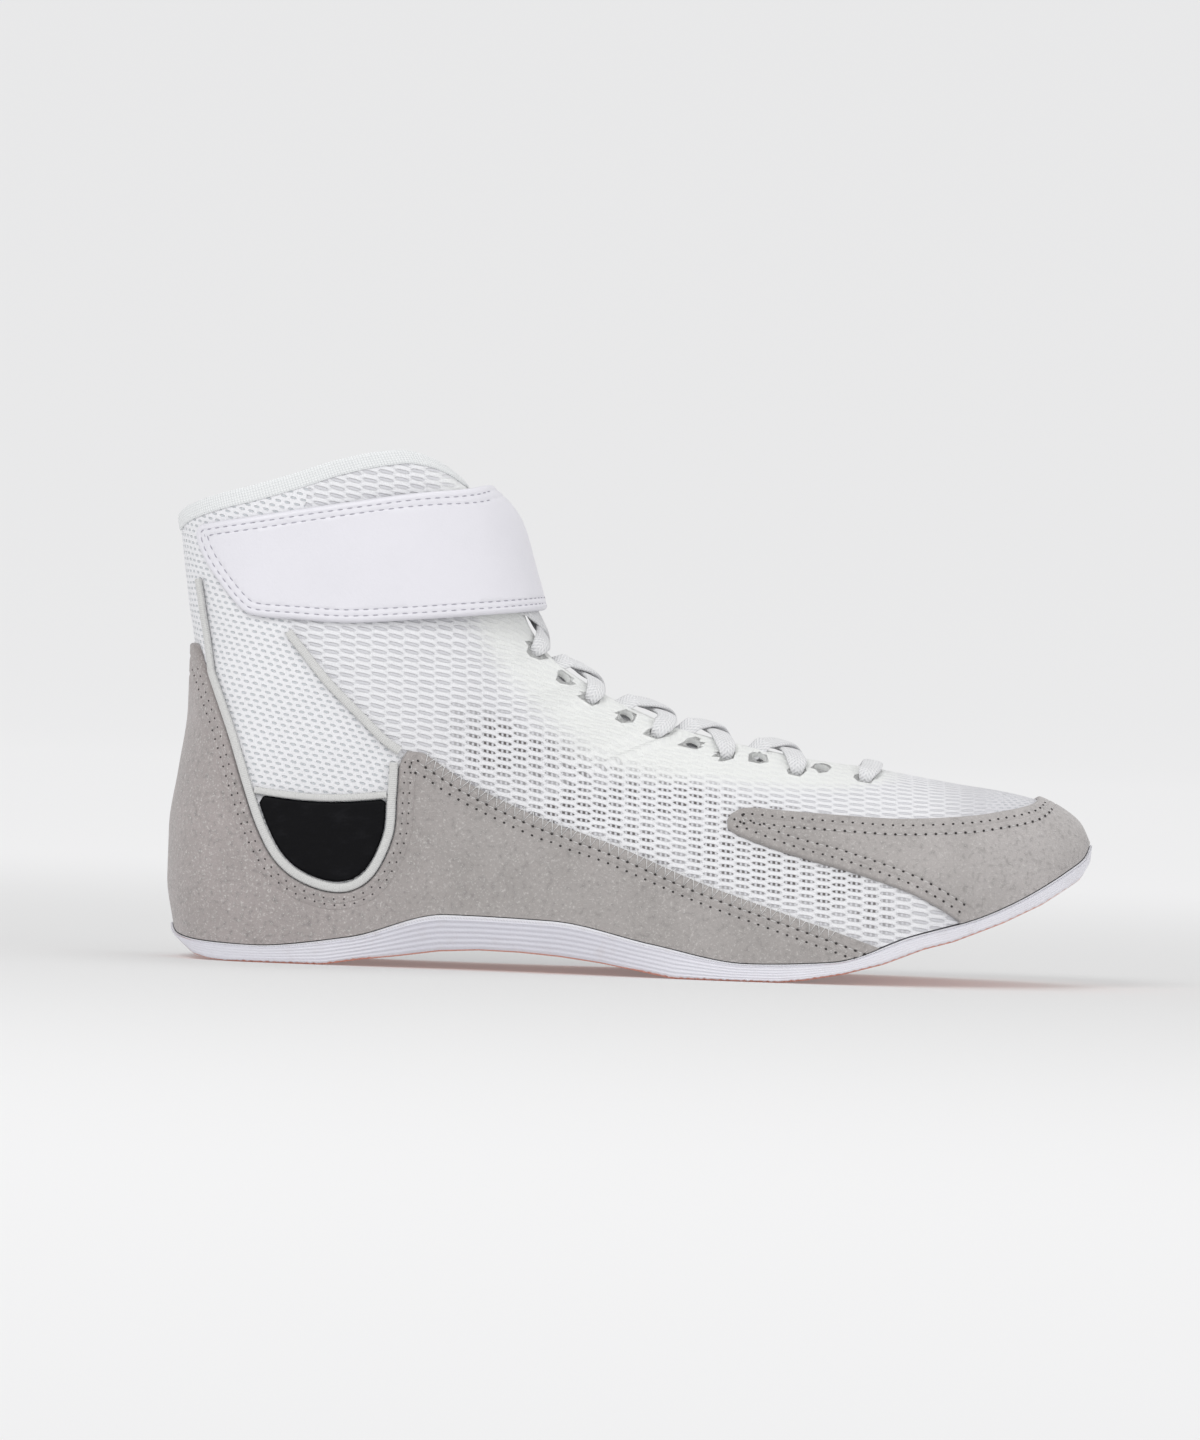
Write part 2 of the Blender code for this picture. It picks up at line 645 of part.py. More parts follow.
toe_line = side_line(TOE_EDGE, 1)
toe_outline = np.vstack([
    [(along(0.95), 0.10)],
    toe_line,
    [(toe_line[-1, 0], -0.02), (FAR, -0.02), (FAR, 0.10)],
])
toe_stations = STATIONS[STATIONS >= 10]
overlay("toe_cap", SUEDE_GREY, toe_outline, GAP, GAP + SUEDE, 0, toe_stations)


def strip(line, near, far):
    return np.vstack([offset(line, near), offset(line, far)[::-1]])


v_start = v_line[2:]
gusset_edge = offset(v_line, GAP + PIPING_WIDTH + GAP)
keep = gusset_edge[:, 1] < GUSSET_TOP * HEIGHT
gusset_edge = gusset_edge[keep]
gusset_level = GUSSET_TOP * HEIGHT
sink = GUSSET_SINK * HEIGHT


def gusset_line(level):
    """The level line between the two legs of the V, dipped a little."""
    wide = offset(v_line, GAP + PIPING_WIDTH + GAP)
    low = int(np.argmin(wide[:, 1]))
    left = np.interp(level, wide[:low + 1, 1][::-1], wide[:low + 1, 0][::-1])
    right = np.interp(level, wide[low:, 1], wide[low:, 0])
    f = np.linspace(0, 1, 7)
    return np.stack([left + (right - left) * f, level - sink * np.sin(math.pi * f)], axis=1)


gusset_outline = np.vstack([gusset_edge, gusset_line(gusset_level)[::-1]])
low_band = gusset_line(gusset_level + GAP)
high_band = gusset_line(gusset_level + GAP + PIPING_WIDTH * 0.8)
band_outline = np.vstack([low_band, high_band[::-1]])
v_strip = strip(v_line[1:], GAP, GAP + PIPING_WIDTH)
wedge_line = side_line(WEDGE_LINE)
wedge_strip = strip(wedge_line, -PIPING_WIDTH / 2, PIPING_WIDTH / 2)
for word, way in (("lateral", -1), ("medial", 1)):
    overlay("gusset_" + word, BLACK, gusset_outline, GAP, GAP + 0.9 * MM, way, heel_stations)
    overlay("gusset_piping_" + word, PIPING, band_outline, GAP, PIPING_HIGH, way, heel_stations)
    overlay("v_piping_" + word, PIPING, v_strip, GAP, PIPING_HIGH, way, heel_stations)
    overlay("wedge_piping_" + word, PIPING, wedge_strip, GAP, PIPING_HIGH, way, heel_stations)


# Strap

def strap():
    stations = STATIONS[STATIONS <= 6]
    s, u = np.meshgrid(stations, ACROSS[ACROSS <= STRAP_END], indexing="ij")
    hop = STRAP_HOP * np.clip((np.minimum(u, 2 - u) - 0.45) / 0.25, 0, 1) ** 1.5
    low = GAP + hop
    form = add("ankle_strap", shell(lifted(s, u, low + STRAP_THICK), lifted(s, u, low)), STRAP_WHITE)
    line = side_line(STRAP_EDGE)
    outline = np.vstack([[(along(0.5), line[0, 1])], line, [(along(0.5), line[-1, 1])]])
    cut(form, prism("strap_cutter", outline), "INTERSECT")
    return form


strap()


# Collar binding: a folded band over the collar edge

def binding():
    first = across(0.0, -HALF * 0.33)
    half = ACROSS[ACROSS < first][::-1]
    ways = np.concatenate([half, (2 - half)[::-1][1:]])
    s = np.zeros_like(ways)
    edge = skin(s, ways)
    n = normal(s, ways)
    down = skin(s + 0.5, ways) - edge
    down /= np.linalg.norm(down, axis=1, keepdims=True)
    g, t, w = GAP, BINDING_THICK, BINDING_WIDTH
    profile = ((w, g), (w, g + t * 0.7), (w * 0.4, g + t), (-g, g + t), (-g - t, -g),
               (-g - t, -WALL + g), (-g, -WALL - g - t), (w * 0.4, -WALL - g - t),
               (w, -WALL - g - t * 0.7), (w, -WALL - g), (-g, -WALL - g), (-g, g))
    bm = bmesh.new()
    rings = []
    for p, a, b in zip(edge, down, n):
        rings.append([bm.verts.new(p + a * x + b * y) for x, y in profile])
    for a, b in zip(rings[:-1], rings[1:]):
        for j in range(len(profile)):
            bm.faces.new([a[j - 1], a[j], b[j], b[j - 1]])
    bm.faces.new(rings[0])
    bm.faces.new(list(reversed(rings[-1])))
    return add("collar_binding", bm, KNIT)


binding()


# Tongue

def tongue():
    keys = stack((TONGUE[0][0], 1.0, 2.0, 3.0, 4.0, 5.0, 6.5, 8.0, 10.0, 12.0, 14.0, 15.0,
                  TONGUE[-1][0]))
    shares = np.linspace(-1, 1, 7)
    s = np.zeros((len(keys), len(shares)))
    u = np.zeros_like(s)
    for i, key in enumerate(keys):
        half = HALF * float(curve(TONGUE, key)[0])
        for j, share in enumerate(shares):
            s[i, j] = key
            u[i, j] = 1.0 if abs(share) < 1e-9 else across(key, share * half)
    outer = lifted(s, u, -TONGUE_DEPTH)
    inner = lifted(s, u, -TONGUE_DEPTH - TONGUE_THICK)
    return add("tongue", shell(outer, inner), TONGUE_CLOTH)


tongue()


# Lace

LACE_LIFT = 0.6 * MM + LACE_THICK / 2


def lace_path(start, stop, reach, hop):
    """Surface places from an eyelet on one side toward the next eyelet on the other side."""
    f = np.linspace(0, reach, 7)
    s = start[0] + (stop[0] - start[0]) * f
    u = start[1] + (stop[1] - start[1]) * f
    lift = LACE_LIFT + hop * np.sin(math.pi * np.clip((f - 0.26) / 0.48, 0, 1)) ** 2
    return lifted(s, u, lift), normal(s, u)


def lace_bar(name, start, stop, reach, hop, group=None):
    points, normals = lace_path(start, stop, reach, hop)
    return add(name, sweep(points, normals, LACE_WIDTH, LACE_THICK), LACE_WHITE, group)


toe_s, toe_u = EYELETS[0]
lace_bar("lace_toe_bar", (toe_s, toe_u), (toe_s, 2 - toe_u), 1.0, 0.4 * MM)
for k in range(1, len(EYELETS) - 1):
    s0, u0 = EYELETS[k]
    s1, u1 = EYELETS[k + 1]
    name = "lace_crossing_" + str(k)
    first = lace_bar(name, (s0, u0), (s1, 2 - u1), 0.76, -LACE_DIP)
    second = lace_bar(name + "_other", (s0, 2 - u0), (s1, u1), 0.76, LACE_THICK * 0.7 - LACE_DIP,
                      CUTTERS)
    cut(first, second, "UNION")
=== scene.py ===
"""Looks of a wrestling shoe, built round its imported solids.

Metres. x runs from heel to toe, y to the inner side of the foot, z up, and the floor is z = 0.
"""
import math

import bmesh
import bpy
import numpy as np
from bpy.props import FloatProperty, FloatVectorProperty, IntProperty, PointerProperty
from mathutils import Matrix, Vector


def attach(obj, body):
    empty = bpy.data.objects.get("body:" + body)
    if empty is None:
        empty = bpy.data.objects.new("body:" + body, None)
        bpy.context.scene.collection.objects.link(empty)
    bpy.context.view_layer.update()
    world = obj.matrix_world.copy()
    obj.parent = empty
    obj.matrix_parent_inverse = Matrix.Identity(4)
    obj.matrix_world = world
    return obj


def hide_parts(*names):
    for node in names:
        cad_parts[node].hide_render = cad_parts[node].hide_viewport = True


bl_info = {
    "name": "Wrestling shoe",
    "version": (1, 0, 0),
    "blender": (4, 5, 0),
    "location": "3D View > Sidebar > Shoe",
    "description": "Builds the visible pieces of a wrestling shoe round its solids",
    "category": "Object",
}

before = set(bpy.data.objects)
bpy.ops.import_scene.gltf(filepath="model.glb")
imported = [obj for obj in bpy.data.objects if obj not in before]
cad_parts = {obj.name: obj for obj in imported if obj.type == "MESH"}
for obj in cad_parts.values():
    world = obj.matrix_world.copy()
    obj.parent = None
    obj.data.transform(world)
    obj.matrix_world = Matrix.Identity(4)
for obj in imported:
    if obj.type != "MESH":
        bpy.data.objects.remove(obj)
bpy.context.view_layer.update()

MM = 0.001
LENGTH = 288.0 * MM
HEIGHT = 159.0 * MM
BALL_WIDTH = 97.0 * MM
HALF = BALL_WIDTH / 2
COLLAR_RISE = 13.8 * MM
HEEL_ROUND = 33.0 * MM
HEEL_POWER = 2.1
ROOT = 8.0
GAP = 0.3 * MM
SOLE_GAP = 0.3 * MM
STRAP_HOP = 2.9 * MM
STRAP_END = 1.75
TONGUE_DEPTH = 3.3 * MM
PIPING_WIDTH = 2.7 * MM

# A row per section of the last. A section is a cut from the back or bottom line to the crest line.
# bx tx are shares of the length, bz tz of the height, half side mid crest of half the ball width,
# round is the share of the section taken by the rounding at the crest.
COLUMNS = ("bx", "bz", "tx", "tz", "half", "side", "mid", "crest", "round", "power", "belly",
           "rise")
SECTIONS = (
    (0.002, 0.858, 0.318, 0.930, 0.63, 0.63, 0.04, 0.04, 0.40, 2.0, 0.00, 1.00),
    (0.008, 0.780, 0.354, 0.862, 0.63, 0.63, 0.04, 0.04, 0.40, 2.0, 0.00, 0.70),
    (0.015, 0.692, 0.373, 0.762, 0.64, 0.64, 0.04, 0.04, 0.42, 2.0, 0.01, 0.35),
    (0.023, 0.597, 0.390, 0.673, 0.66, 0.66, 0.04, 0.04, 0.45, 2.0, 0.02, 0.10),
    (0.023, 0.491, 0.418, 0.610, 0.69, 0.69, 0.04, 0.04, 0.48, 1.95, 0.03, 0.00),
    (0.015, 0.365, 0.455, 0.568, 0.69, 0.69, 0.04, 0.04, 0.50, 1.9, 0.04, 0.00),
    (0.007, 0.252, 0.488, 0.538, 0.68, 0.68, 0.04, 0.05, 0.52, 1.9, 0.05, 0.00),
    (0.007, 0.157, 0.519, 0.516, 0.67, 0.67, 0.04, 0.05, 0.54, 1.9, 0.06, 0.00),
    (0.015, 0.067, 0.547, 0.498, 0.66, 0.66, 0.04, 0.05, 0.56, 1.9, 0.07, 0.00),
    (0.021, 0.050, 0.561, 0.490, 0.66, 0.66, 0.04, 0.05, 0.57, 1.9, 0.07, 0.00),
    (0.047, 0.039, 0.575, 0.483, 0.66, 0.66, 0.04, 0.06, 0.58, 1.9, 0.08, 0.00),
    (0.106, 0.035, 0.595, 0.474, 0.66, 0.66, 0.04, 0.06, 0.61, 1.9, 0.08, 0.00),
    (0.203, 0.057, 0.620, 0.464, 0.66, 0.66, 0.02, 0.07, 0.66, 1.9, 0.08, 0.00),
    (0.307, 0.107, 0.648, 0.453, 0.64, 0.68, -0.025, 0.08, 0.76, 1.9, 0.08, 0.00),
    (0.418, 0.103, 0.682, 0.439, 0.69, 0.735, -0.075, 0.09, 0.88, 1.9, 0.06, 0.00),
    (0.526, 0.066, 0.720, 0.426, 0.81, 0.80, -0.07, 0.11, 0.97, 2.0, 0.04, 0.00),
    (0.627, 0.036, 0.766, 0.413, 0.93, 0.86, -0.02, 0.13, 1.00, 2.1, 0.03, 0.00),
    (0.717, 0.044, 0.811, 0.400, 0.94, 0.905, 0.02, 0.14, 1.00, 2.2, 0.02, 0.00),
    (0.800, 0.097, 0.856, 0.388, 0.87, 0.87, 0.06, 0.16, 1.00, 2.4, 0.02, 0.00),
    (0.870, 0.135, 0.899, 0.378, 0.745, 0.745, 0.10, 0.17, 1.00, 2.5, 0.02, 0.00),
    (0.925, 0.182, 0.936, 0.364, 0.59, 0.59, 0.135, 0.18, 1.00, 2.5, 0.01, 0.00),
    (0.962, 0.225, 0.964, 0.341, 0.455, 0.455, 0.165, 0.18, 1.00, 2.4, 0.00, 0.00),
    (0.983, 0.255, 0.982, 0.315, 0.295, 0.295, 0.18, 0.185, 1.00, 2.2, 0.00, 0.00),
    (0.992, 0.281, 0.992, 0.281, 0.00, 0.00, 0.185, 0.185, 1.00, 2.0, 0.00, 0.00),
)
LAST = len(SECTIONS) - 1

# Share of the collar line from the heel, share of the collar rise.
COLLAR = ((0.0, 0.0), (0.03, 0.17), (0.13, 0.36), (0.27, 0.51), (0.40, 0.68), (0.54, 0.89),
          (0.67, 0.99), (0.74, 1.0), (0.81, 0.90), (0.88, 0.67), (0.95, 0.29), (1.0, 0.0))

# Under side of the sole: share of the length, share of the height. Two runs lie on the floor.
UNDER = ((0.000, 0.060), (0.016, 0.038), (0.035, 0.011), (0.052, 0.003), (0.072, 0.0), (0.175, 0.0),
         (0.213, 0.012), (0.256, 0.022), (0.299, 0.034), (0.342, 0.039), (0.385, 0.038),
         (0.428, 0.033), (0.472, 0.024), (0.515, 0.011), (0.550, 0.0), (0.662, 0.0),
         (0.690, 0.006), (0.731, 0.020), (0.773, 0.041), (0.816, 0.072), (0.848, 0.088),
         (0.901, 0.126), (0.943, 0.163), (0.984, 0.211), (1.000, 0.246))

# Outlines in the side view: share of the length, share of the height.
V_LINE = ((0.030, 0.612), (0.064, 0.452), (0.101, 0.258), (0.135, 0.173), (0.187, 0.140),
          (0.224, 0.168), (0.246, 0.249), (0.249, 0.330), (0.250, 0.396))
SUEDE_TOP = ((0.259, 0.422), (0.274, 0.418), (0.324, 0.362), (0.401, 0.299), (0.488, 0.247),
             (0.576, 0.184), (0.664, 0.132), (0.727, 0.097), (0.772, 0.070))
TOE_EDGE = ((0.941, 0.370), (0.929, 0.352), (0.896, 0.338), (0.853, 0.326), (0.789, 0.318),
            (0.724, 0.321), (0.659, 0.327), (0.622, 0.330), (0.606, 0.318), (0.602, 0.300),
            (0.611, 0.281), (0.661, 0.249), (0.726, 0.220), (0.792, 0.184), (0.825, 0.157),
            (0.852, 0.128))
WEDGE_LINE = ((0.127, 0.641), (0.139, 0.614), (0.169, 0.550), (0.203, 0.491), (0.231, 0.443),
              (0.250, 0.419))
STRAP_EDGE = ((0.330, 0.921), (0.260, 0.917), (0.173, 0.892), (0.087, 0.863), (0.039, 0.847),
              (0.029, 0.838), (0.027, 0.820), (0.035, 0.781), (0.052, 0.734), (0.074, 0.687),
              (0.091, 0.670), (0.135, 0.665), (0.189, 0.662), (0.242, 0.669), (0.328, 0.683),
              (0.440, 0.700))
GUSSET_TOP = 0.325
GUSSET_SINK = 0.010

# Weaves of the upper: length of a hole and its bridge, and height of a row.
COARSE_PITCH = 9.9 * MM
COARSE_ROW = 1.2 * MM
COARSE_DOT = 1.55 * MM
FINE_PITCH = 2.9 * MM
FINE_ROW = 1.75 * MM

# Width of the plain cloth beside the throat, where it ends and where the mesh starts.
STAY = (13.0 * MM, 20.0 * MM)

# Distance of the stitch rows from the edges they follow.
V_INSETS = (1.8 * MM, 3.7 * MM)
TOP_INSETS = (3.4 * MM, 6.0 * MM)
TOE_INSETS = (2.4 * MM, 5.0 * MM)
STRAP_INSETS = (2.0 * MM, 3.9 * MM)

# Teeth along the bottom edge of the sole.
TEETH_PITCH = 2.4 * MM
TEETH_DEPTH = 0.45 * MM

# Laced eyelets from the toe to the ankle, in the side view.
LACED = ((0.750, 0.395), (0.676, 0.406), (0.600, 0.432), (0.524, 0.470), (0.452, 0.532),
         (0.391, 0.621), (0.352, 0.742))

# Bare eyelets nearer the slit: share of the length, distance from the crest.
BARE = ((0.703, 0.25), (0.635, 0.27), (0.563, 0.28), (0.491, 0.28), (0.422, 0.30))

# Slit of the throat: section, half width as a share of half the ball width.
SLIT = ((-0.2, 0.25), (2.0, 0.22), (5.0, 0.20), (9.0, 0.175), (12.0, 0.17), (14.0, 0.15),
        (15.2, 0.115), (15.6, 0.06), (15.75, 0.0))

# Tongue: section, half width as a share of half the ball width.
TONGUE = ((0.35, 0.46), (1.0, 0.50), (3.0, 0.50), (6.0, 0.47), (10.0, 0.44), (14.0, 0.38),
          (16.2, 0.30))

# Soft folds of the outer side: share of the length and of the height at the middle, the way the
# fold runs in degrees from level, its length, width and depth in mm. A ridge has a minus depth.
FOLDS = (
    (0.355, 0.560, 100.0, 46.0, 7.0, 1.2),
    (0.318, 0.520, 104.0, 40.0, 6.0, -0.8),
    (0.420, 0.480, 118.0, 44.0, 7.0, 1.1),
    (0.300, 0.600, 12.0, 60.0, 6.0, 1.1),
    (0.180, 0.560, -24.0, 40.0, 6.0, 0.7),
    (0.560, 0.300, -28.0, 70.0, 9.0, 0.8),
    (0.700, 0.240, -38.0, 46.0, 6.0, 0.5),
    (0.140, 0.300, 60.0, 30.0, 6.0, 0.4),
)


class ShoeSizes(bpy.types.PropertyGroup):
    """Sizes of the visible pieces that can be set by themselves."""
    wall: FloatProperty(name="Wall", description="Thickness of the upper",
                        default=2.0 * MM, unit="LENGTH")
    suede: FloatProperty(name="Suede", description="Thickness of the suede panels",
                         default=1.2 * MM, unit="LENGTH")
    strap: FloatProperty(name="Strap", description="Thickness of the ankle strap",
                         default=2.1 * MM, unit="LENGTH")
    tongue: FloatProperty(name="Tongue", description="Thickness of the padded tongue",
                          default=2.6 * MM, unit="LENGTH")
    insole: FloatProperty(name="Insole", description="Thickness of the insole",
                          default=3.0 * MM, unit="LENGTH")
    sole_edge: FloatProperty(name="Sole edge", description="How far the sole stands out",
                             default=2.2 * MM, unit="LENGTH")
    binding: FloatProperty(name="Binding", description="Thickness of the collar binding",
                           default=0.5 * MM, unit="LENGTH")
    binding_width: FloatProperty(name="Binding width", description="Height of the collar binding",
                                 default=4.4 * MM, unit="LENGTH")
    lace_width: FloatProperty(name="Lace width", description="Width of the flat lace",
                              default=6.4 * MM, unit="LENGTH")
    lace_thick: FloatProperty(name="Lace thickness", description="Thickness of the flat lace",
                              default=1.7 * MM, unit="LENGTH")
    eyelet: FloatProperty(name="Eyelet", description="Radius of a lace hole",
                          default=2.3 * MM, unit="LENGTH")
    stitch: FloatProperty(name="Stitch", description="Distance from stitch to stitch",
                          default=3.1 * MM, unit="LENGTH")
    thread: FloatProperty(name="Thread", description="Thickness of the sewing thread",
                          default=0.45 * MM, unit="LENGTH")
    groove: FloatProperty(name="Groove pitch", description="Distance between the tread grooves",
                          default=11.0 * MM, unit="LENGTH")
    ribs: IntProperty(name="Side ribs", description="Ribs round the side of the sole", default=5)


def colour(name, about, value):
    return FloatVectorProperty(name=name, description=about, default=value, size=3,
                               subtype="COLOR", min=0.0, max=1.0)


class ShoeColours(bpy.types.PropertyGroup):
    """Colours of the visible pieces."""
    rubber: colour("Rubber", "Side of the sole", (0.80, 0.795, 0.85))
    tread: colour("Tread", "Under side of the sole", (0.80, 0.36, 0.28))
    mesh: colour("Mesh", "Threads of the upper", (0.88, 0.88, 0.905))
    mesh_deep: colour("Mesh holes", "What shows through the mesh", (0.045, 0.032, 0.028))
    suede: colour("Suede", "Suede panels", (0.402, 0.377, 0.367))
    gusset: colour("Gusset", "Black inserts", (0.004, 0.004, 0.005))
    piping: colour("Piping", "Strips along the panels", (0.62, 0.62, 0.61))
    strap: colour("Strap", "Ankle strap", (0.79, 0.78, 0.83))
    knit: colour("Knit", "Collar binding", (0.90, 0.91, 0.915))
    tongue: colour("Tongue", "Tongue", (0.78, 0.78, 0.80))
    lace: colour("Lace", "Lace", (0.86, 0.86, 0.87))
    insole: colour("Insole", "Insole", (0.55, 0.56, 0.58))
    floor: colour("Floor", "Floor and backdrop", (0.62, 0.62, 0.62))


def sizes():
    return bpy.context.scene.shoe_sizes


def colours():
    return bpy.context.scene.shoe_colours


# The surface of the last

def curve(rows, key):
    """A smooth curve through rows, with no overshoot. First column is the key."""
    rows = np.asarray(rows, float)
    x = rows[:, 0]
    y = rows[:, 1:]
    step = np.diff(x)[:, None]
    slope = np.diff(y, axis=0) / step
    tangent = np.zeros_like(y)
    same = slope[:-1] * slope[1:] > 0
    total = np.where(same, slope[:-1] + slope[1:], 1.0)
    tangent[1:-1] = np.where(same, 2 * slope[:-1] * slope[1:] / total, 0.0)
    tangent[0] = slope[0]
    tangent[-1] = slope[-1]
    key = np.clip(np.asarray(key, float), x[0], x[-1])
    i = np.clip(np.searchsorted(x, key, side="right") - 1, 0, len(x) - 2)
    h = step[i]
    f = ((key - x[i])[..., None]) / h
    a = (1 + 2 * f) * (1 - f) ** 2
    b = f * (1 - f) ** 2
    c = f * f * (3 - 2 * f)
    d = f * f * (f - 1)
    return a * y[i] + b * h * tangent[i] + c * y[i + 1] + d * h * tangent[i + 1]


SECTION_ROWS = [(k,) + row for k, row in enumerate(SECTIONS)]
BACK_ROWS = [(row[1], row[0]) for row in reversed(SECTIONS[:int(ROOT) + 1])]


def along(share):
    return (share - 0.5) * LENGTH


def section(s):
    values = curve(SECTION_ROWS, s)
    return {name: values[..., k] for k, name in enumerate(COLUMNS)}


def smooth(value, low=0.0, high=1.0):
    """Goes softly from 0 at low to 1 at high."""
    f = np.clip((np.asarray(value, float) - low) / (high - low), 0, 1)
    return f * f * (3 - 2 * f)


def rounding(distance, radius, power):
    """Goes from 0 at no distance to 1 a little past the radius, with a soft start."""
    reach = np.clip(1 - distance / (radius * 1.12), 0, 1)
    return np.maximum(1 - reach ** (power + 0.6), 0) ** (1 / power)


def skin(s, u):
    """A point of the outer surface. u is 0 at the outer foot, 1 at the crest, 2 at the inner."""
    s = np.clip(np.asarray(s, float), 0, LAST)
    u = np.asarray(u, float)
    s, u = np.broadcast_arrays(s, u)
    side = np.where((u >= 0) & (u <= 1), -1.0, 1.0)
    w = np.where(u < 0, -u, np.where(u > 1, 2 - u, u))
    side = np.where(w < 0, -side, side)
    w = np.abs(w)
    t = (1 - np.cos(math.pi * w)) / 2
    r = section(s)
    on_heel = along(curve(BACK_ROWS, r["bz"])[..., 0])
    bx = np.where(s <= ROOT, on_heel, along(r["bx"]))
    tx = along(r["tx"])
    bz = r["bz"] * HEIGHT
    tz = r["tz"] * HEIGHT
    x = bx + (tx - bx) * t
    z = bz + (tz - bz) * t + COLLAR_RISE * r["rise"] * curve(COLLAR, t)[..., 0]
    span = np.hypot(tx - bx, tz - bz) + 1e-9
    top = rounding(span * (1 - t), r["round"] * span, r["power"])
    heel = along(curve(BACK_ROWS, (bz + (tz - bz) * t) / HEIGHT)[..., 0])
    back = rounding(np.maximum(x - heel, 0), HEEL_ROUND, HEEL_POWER)
    wide = r["half"] + (r["side"] - r["half"]) * smooth(t / 0.55)
    half = HALF * wide * (1 + r["belly"] * np.sin(math.pi * t))
    middle = r["crest"] + (r["mid"] - r["crest"]) * (1 - t) ** 2
    y = HALF * middle + side * half * top * back
    return np.stack([x, y, z], axis=-1)


def normal(s, u):
    """Outward direction of the surface."""
    s, u = np.broadcast_arrays(np.asarray(s, float), np.asarray(u, float))
    s = np.clip(s, 0, LAST - 0.04)
    e = 0.002
    closed = s <= ROOT
    u_low = np.where(closed, u - e, np.maximum(u - e, 0))
    u_high = np.where(closed, u + e, np.minimum(u + e, 2))
    s_low = np.where(closed, np.maximum(s - e, 0), s)
    s_high = np.where(closed, np.maximum(s, s_low + e), s + e)
    du = skin(s, u_high) - skin(s, u_low)
    ds = skin(s_high, u) - skin(s_low, u)
    n = np.cross(ds, du)
    foot = (s > ROOT - 0.01) & ((np.abs(u) < 0.01) | (np.abs(u) > 1.99))
    n[..., 2] = np.where(foot, 0.0, n[..., 2])
    return n / (np.linalg.norm(n, axis=-1, keepdims=True) + 1e-30)


def folds(p, u):
    """Depth of the soft folds at points of the surface, outer side."""
    depth = np.zeros(p.shape[:-1])
    for x, z, turn, length, width, deep in FOLDS:
        a = math.radians(turn)
        dx = p[..., 0] - along(x)
        dz = p[..., 2] - z * HEIGHT
        run = (dx * math.cos(a) + dz * math.sin(a)) / (length * MM / 2)
        off = (dz * math.cos(a) - dx * math.sin(a)) / (width * MM / 2)
        off = off - 0.5 * run * run
        depth += deep * MM * np.exp(-off * off) * np.maximum(1 - run * run, 0) ** 2
    return depth * smooth(1 - np.asarray(u, float), 0.06, 0.3)


def lifted(s, u, lift):
    s, u = np.broadcast_arrays(np.asarray(s, float), np.asarray(u, float))
    n = normal(s, u)
    tip = (s >= LAST - 1e-6)[..., None]
    n = np.where(tip, np.array([0.97, 0.0, 0.24]), n)
    p = skin(s, u)
    lift = np.broadcast_to(np.asarray(lift, float), s.shape) - folds(p, u)
    return p + n * lift[..., None]


def places(line):
    """The sections and places across, outer side, of points of the side view."""
    target = np.asarray(line, float)
    ss, uu = np.meshgrid(np.linspace(0, LAST - 0.3, 140), np.linspace(0.01, 0.99, 80),
                         indexing="ij")
    known = skin(ss, uu)[..., [0, 2]].reshape(-1, 2)
    k = ((target[:, None, :] - known[None]) ** 2).sum(-1).argmin(1)
    s = ss.ravel()[k]
    u = uu.ravel()[k]
    e = 1e-4
    for _ in range(16):
        p = skin(s, u)[:, [0, 2]]
        js = (skin(s + e, u)[:, [0, 2]] - p) / e
        ju = (p - skin(s, u - e)[:, [0, 2]]) / e
        miss = target - p
        det = js[:, 0] * ju[:, 1] - js[:, 1] * ju[:, 0]
        det = np.where(np.abs(det) < 1e-9, 1e-9, det)
        ds = (miss[:, 0] * ju[:, 1] - miss[:, 1] * ju[:, 0]) / det
        du = (js[:, 0] * miss[:, 1] - js[:, 1] * miss[:, 0]) / det
        s = np.clip(s + np.clip(ds, -0.3, 0.3), 0, LAST - 0.3)
        u = np.clip(u + np.clip(du, -0.03, 0.03), 0.002, 0.998)
    return s, u


def across(s, offset):
    """The places across sections s whose distances from the crest, seen from above, are offset."""
    s, offset = np.broadcast_arrays(np.asarray(s, float), np.asarray(offset, float))
    crest = HALF * section(s)["crest"]
    low = np.zeros(s.shape)
    high = np.ones(s.shape)
    for _ in range(30):
        w = (low + high) / 2
        far = crest - skin(s, w)[..., 1] > np.abs(offset)
        low = np.where(far, w, low)
        high = np.where(far, high, w)
    w = (low + high) / 2
    w = np.where(np.abs(offset) < 1e-9, 1.0, w)
    return np.where(offset < 0, w, 2 - w)


def place(x_share, offset):
    """The section and the place across it, outer side, at a distance from the crest."""
    low, high = 0.0, LAST - 1.0
    for _ in range(30):
        s = (low + high) / 2
        u = across(s, -offset)
        if skin(s, u)[0] < along(x_share):
            low = s
        else:
            high = s
    return s, u


def distances(points):
    """How far along a line each of its points lies."""
    return np.concatenate([[0], np.cumsum(np.linalg.norm(np.diff(points, axis=0), axis=1))])


def unit(vectors):
    return vectors / np.linalg.norm(vectors, axis=1, keepdims=True)


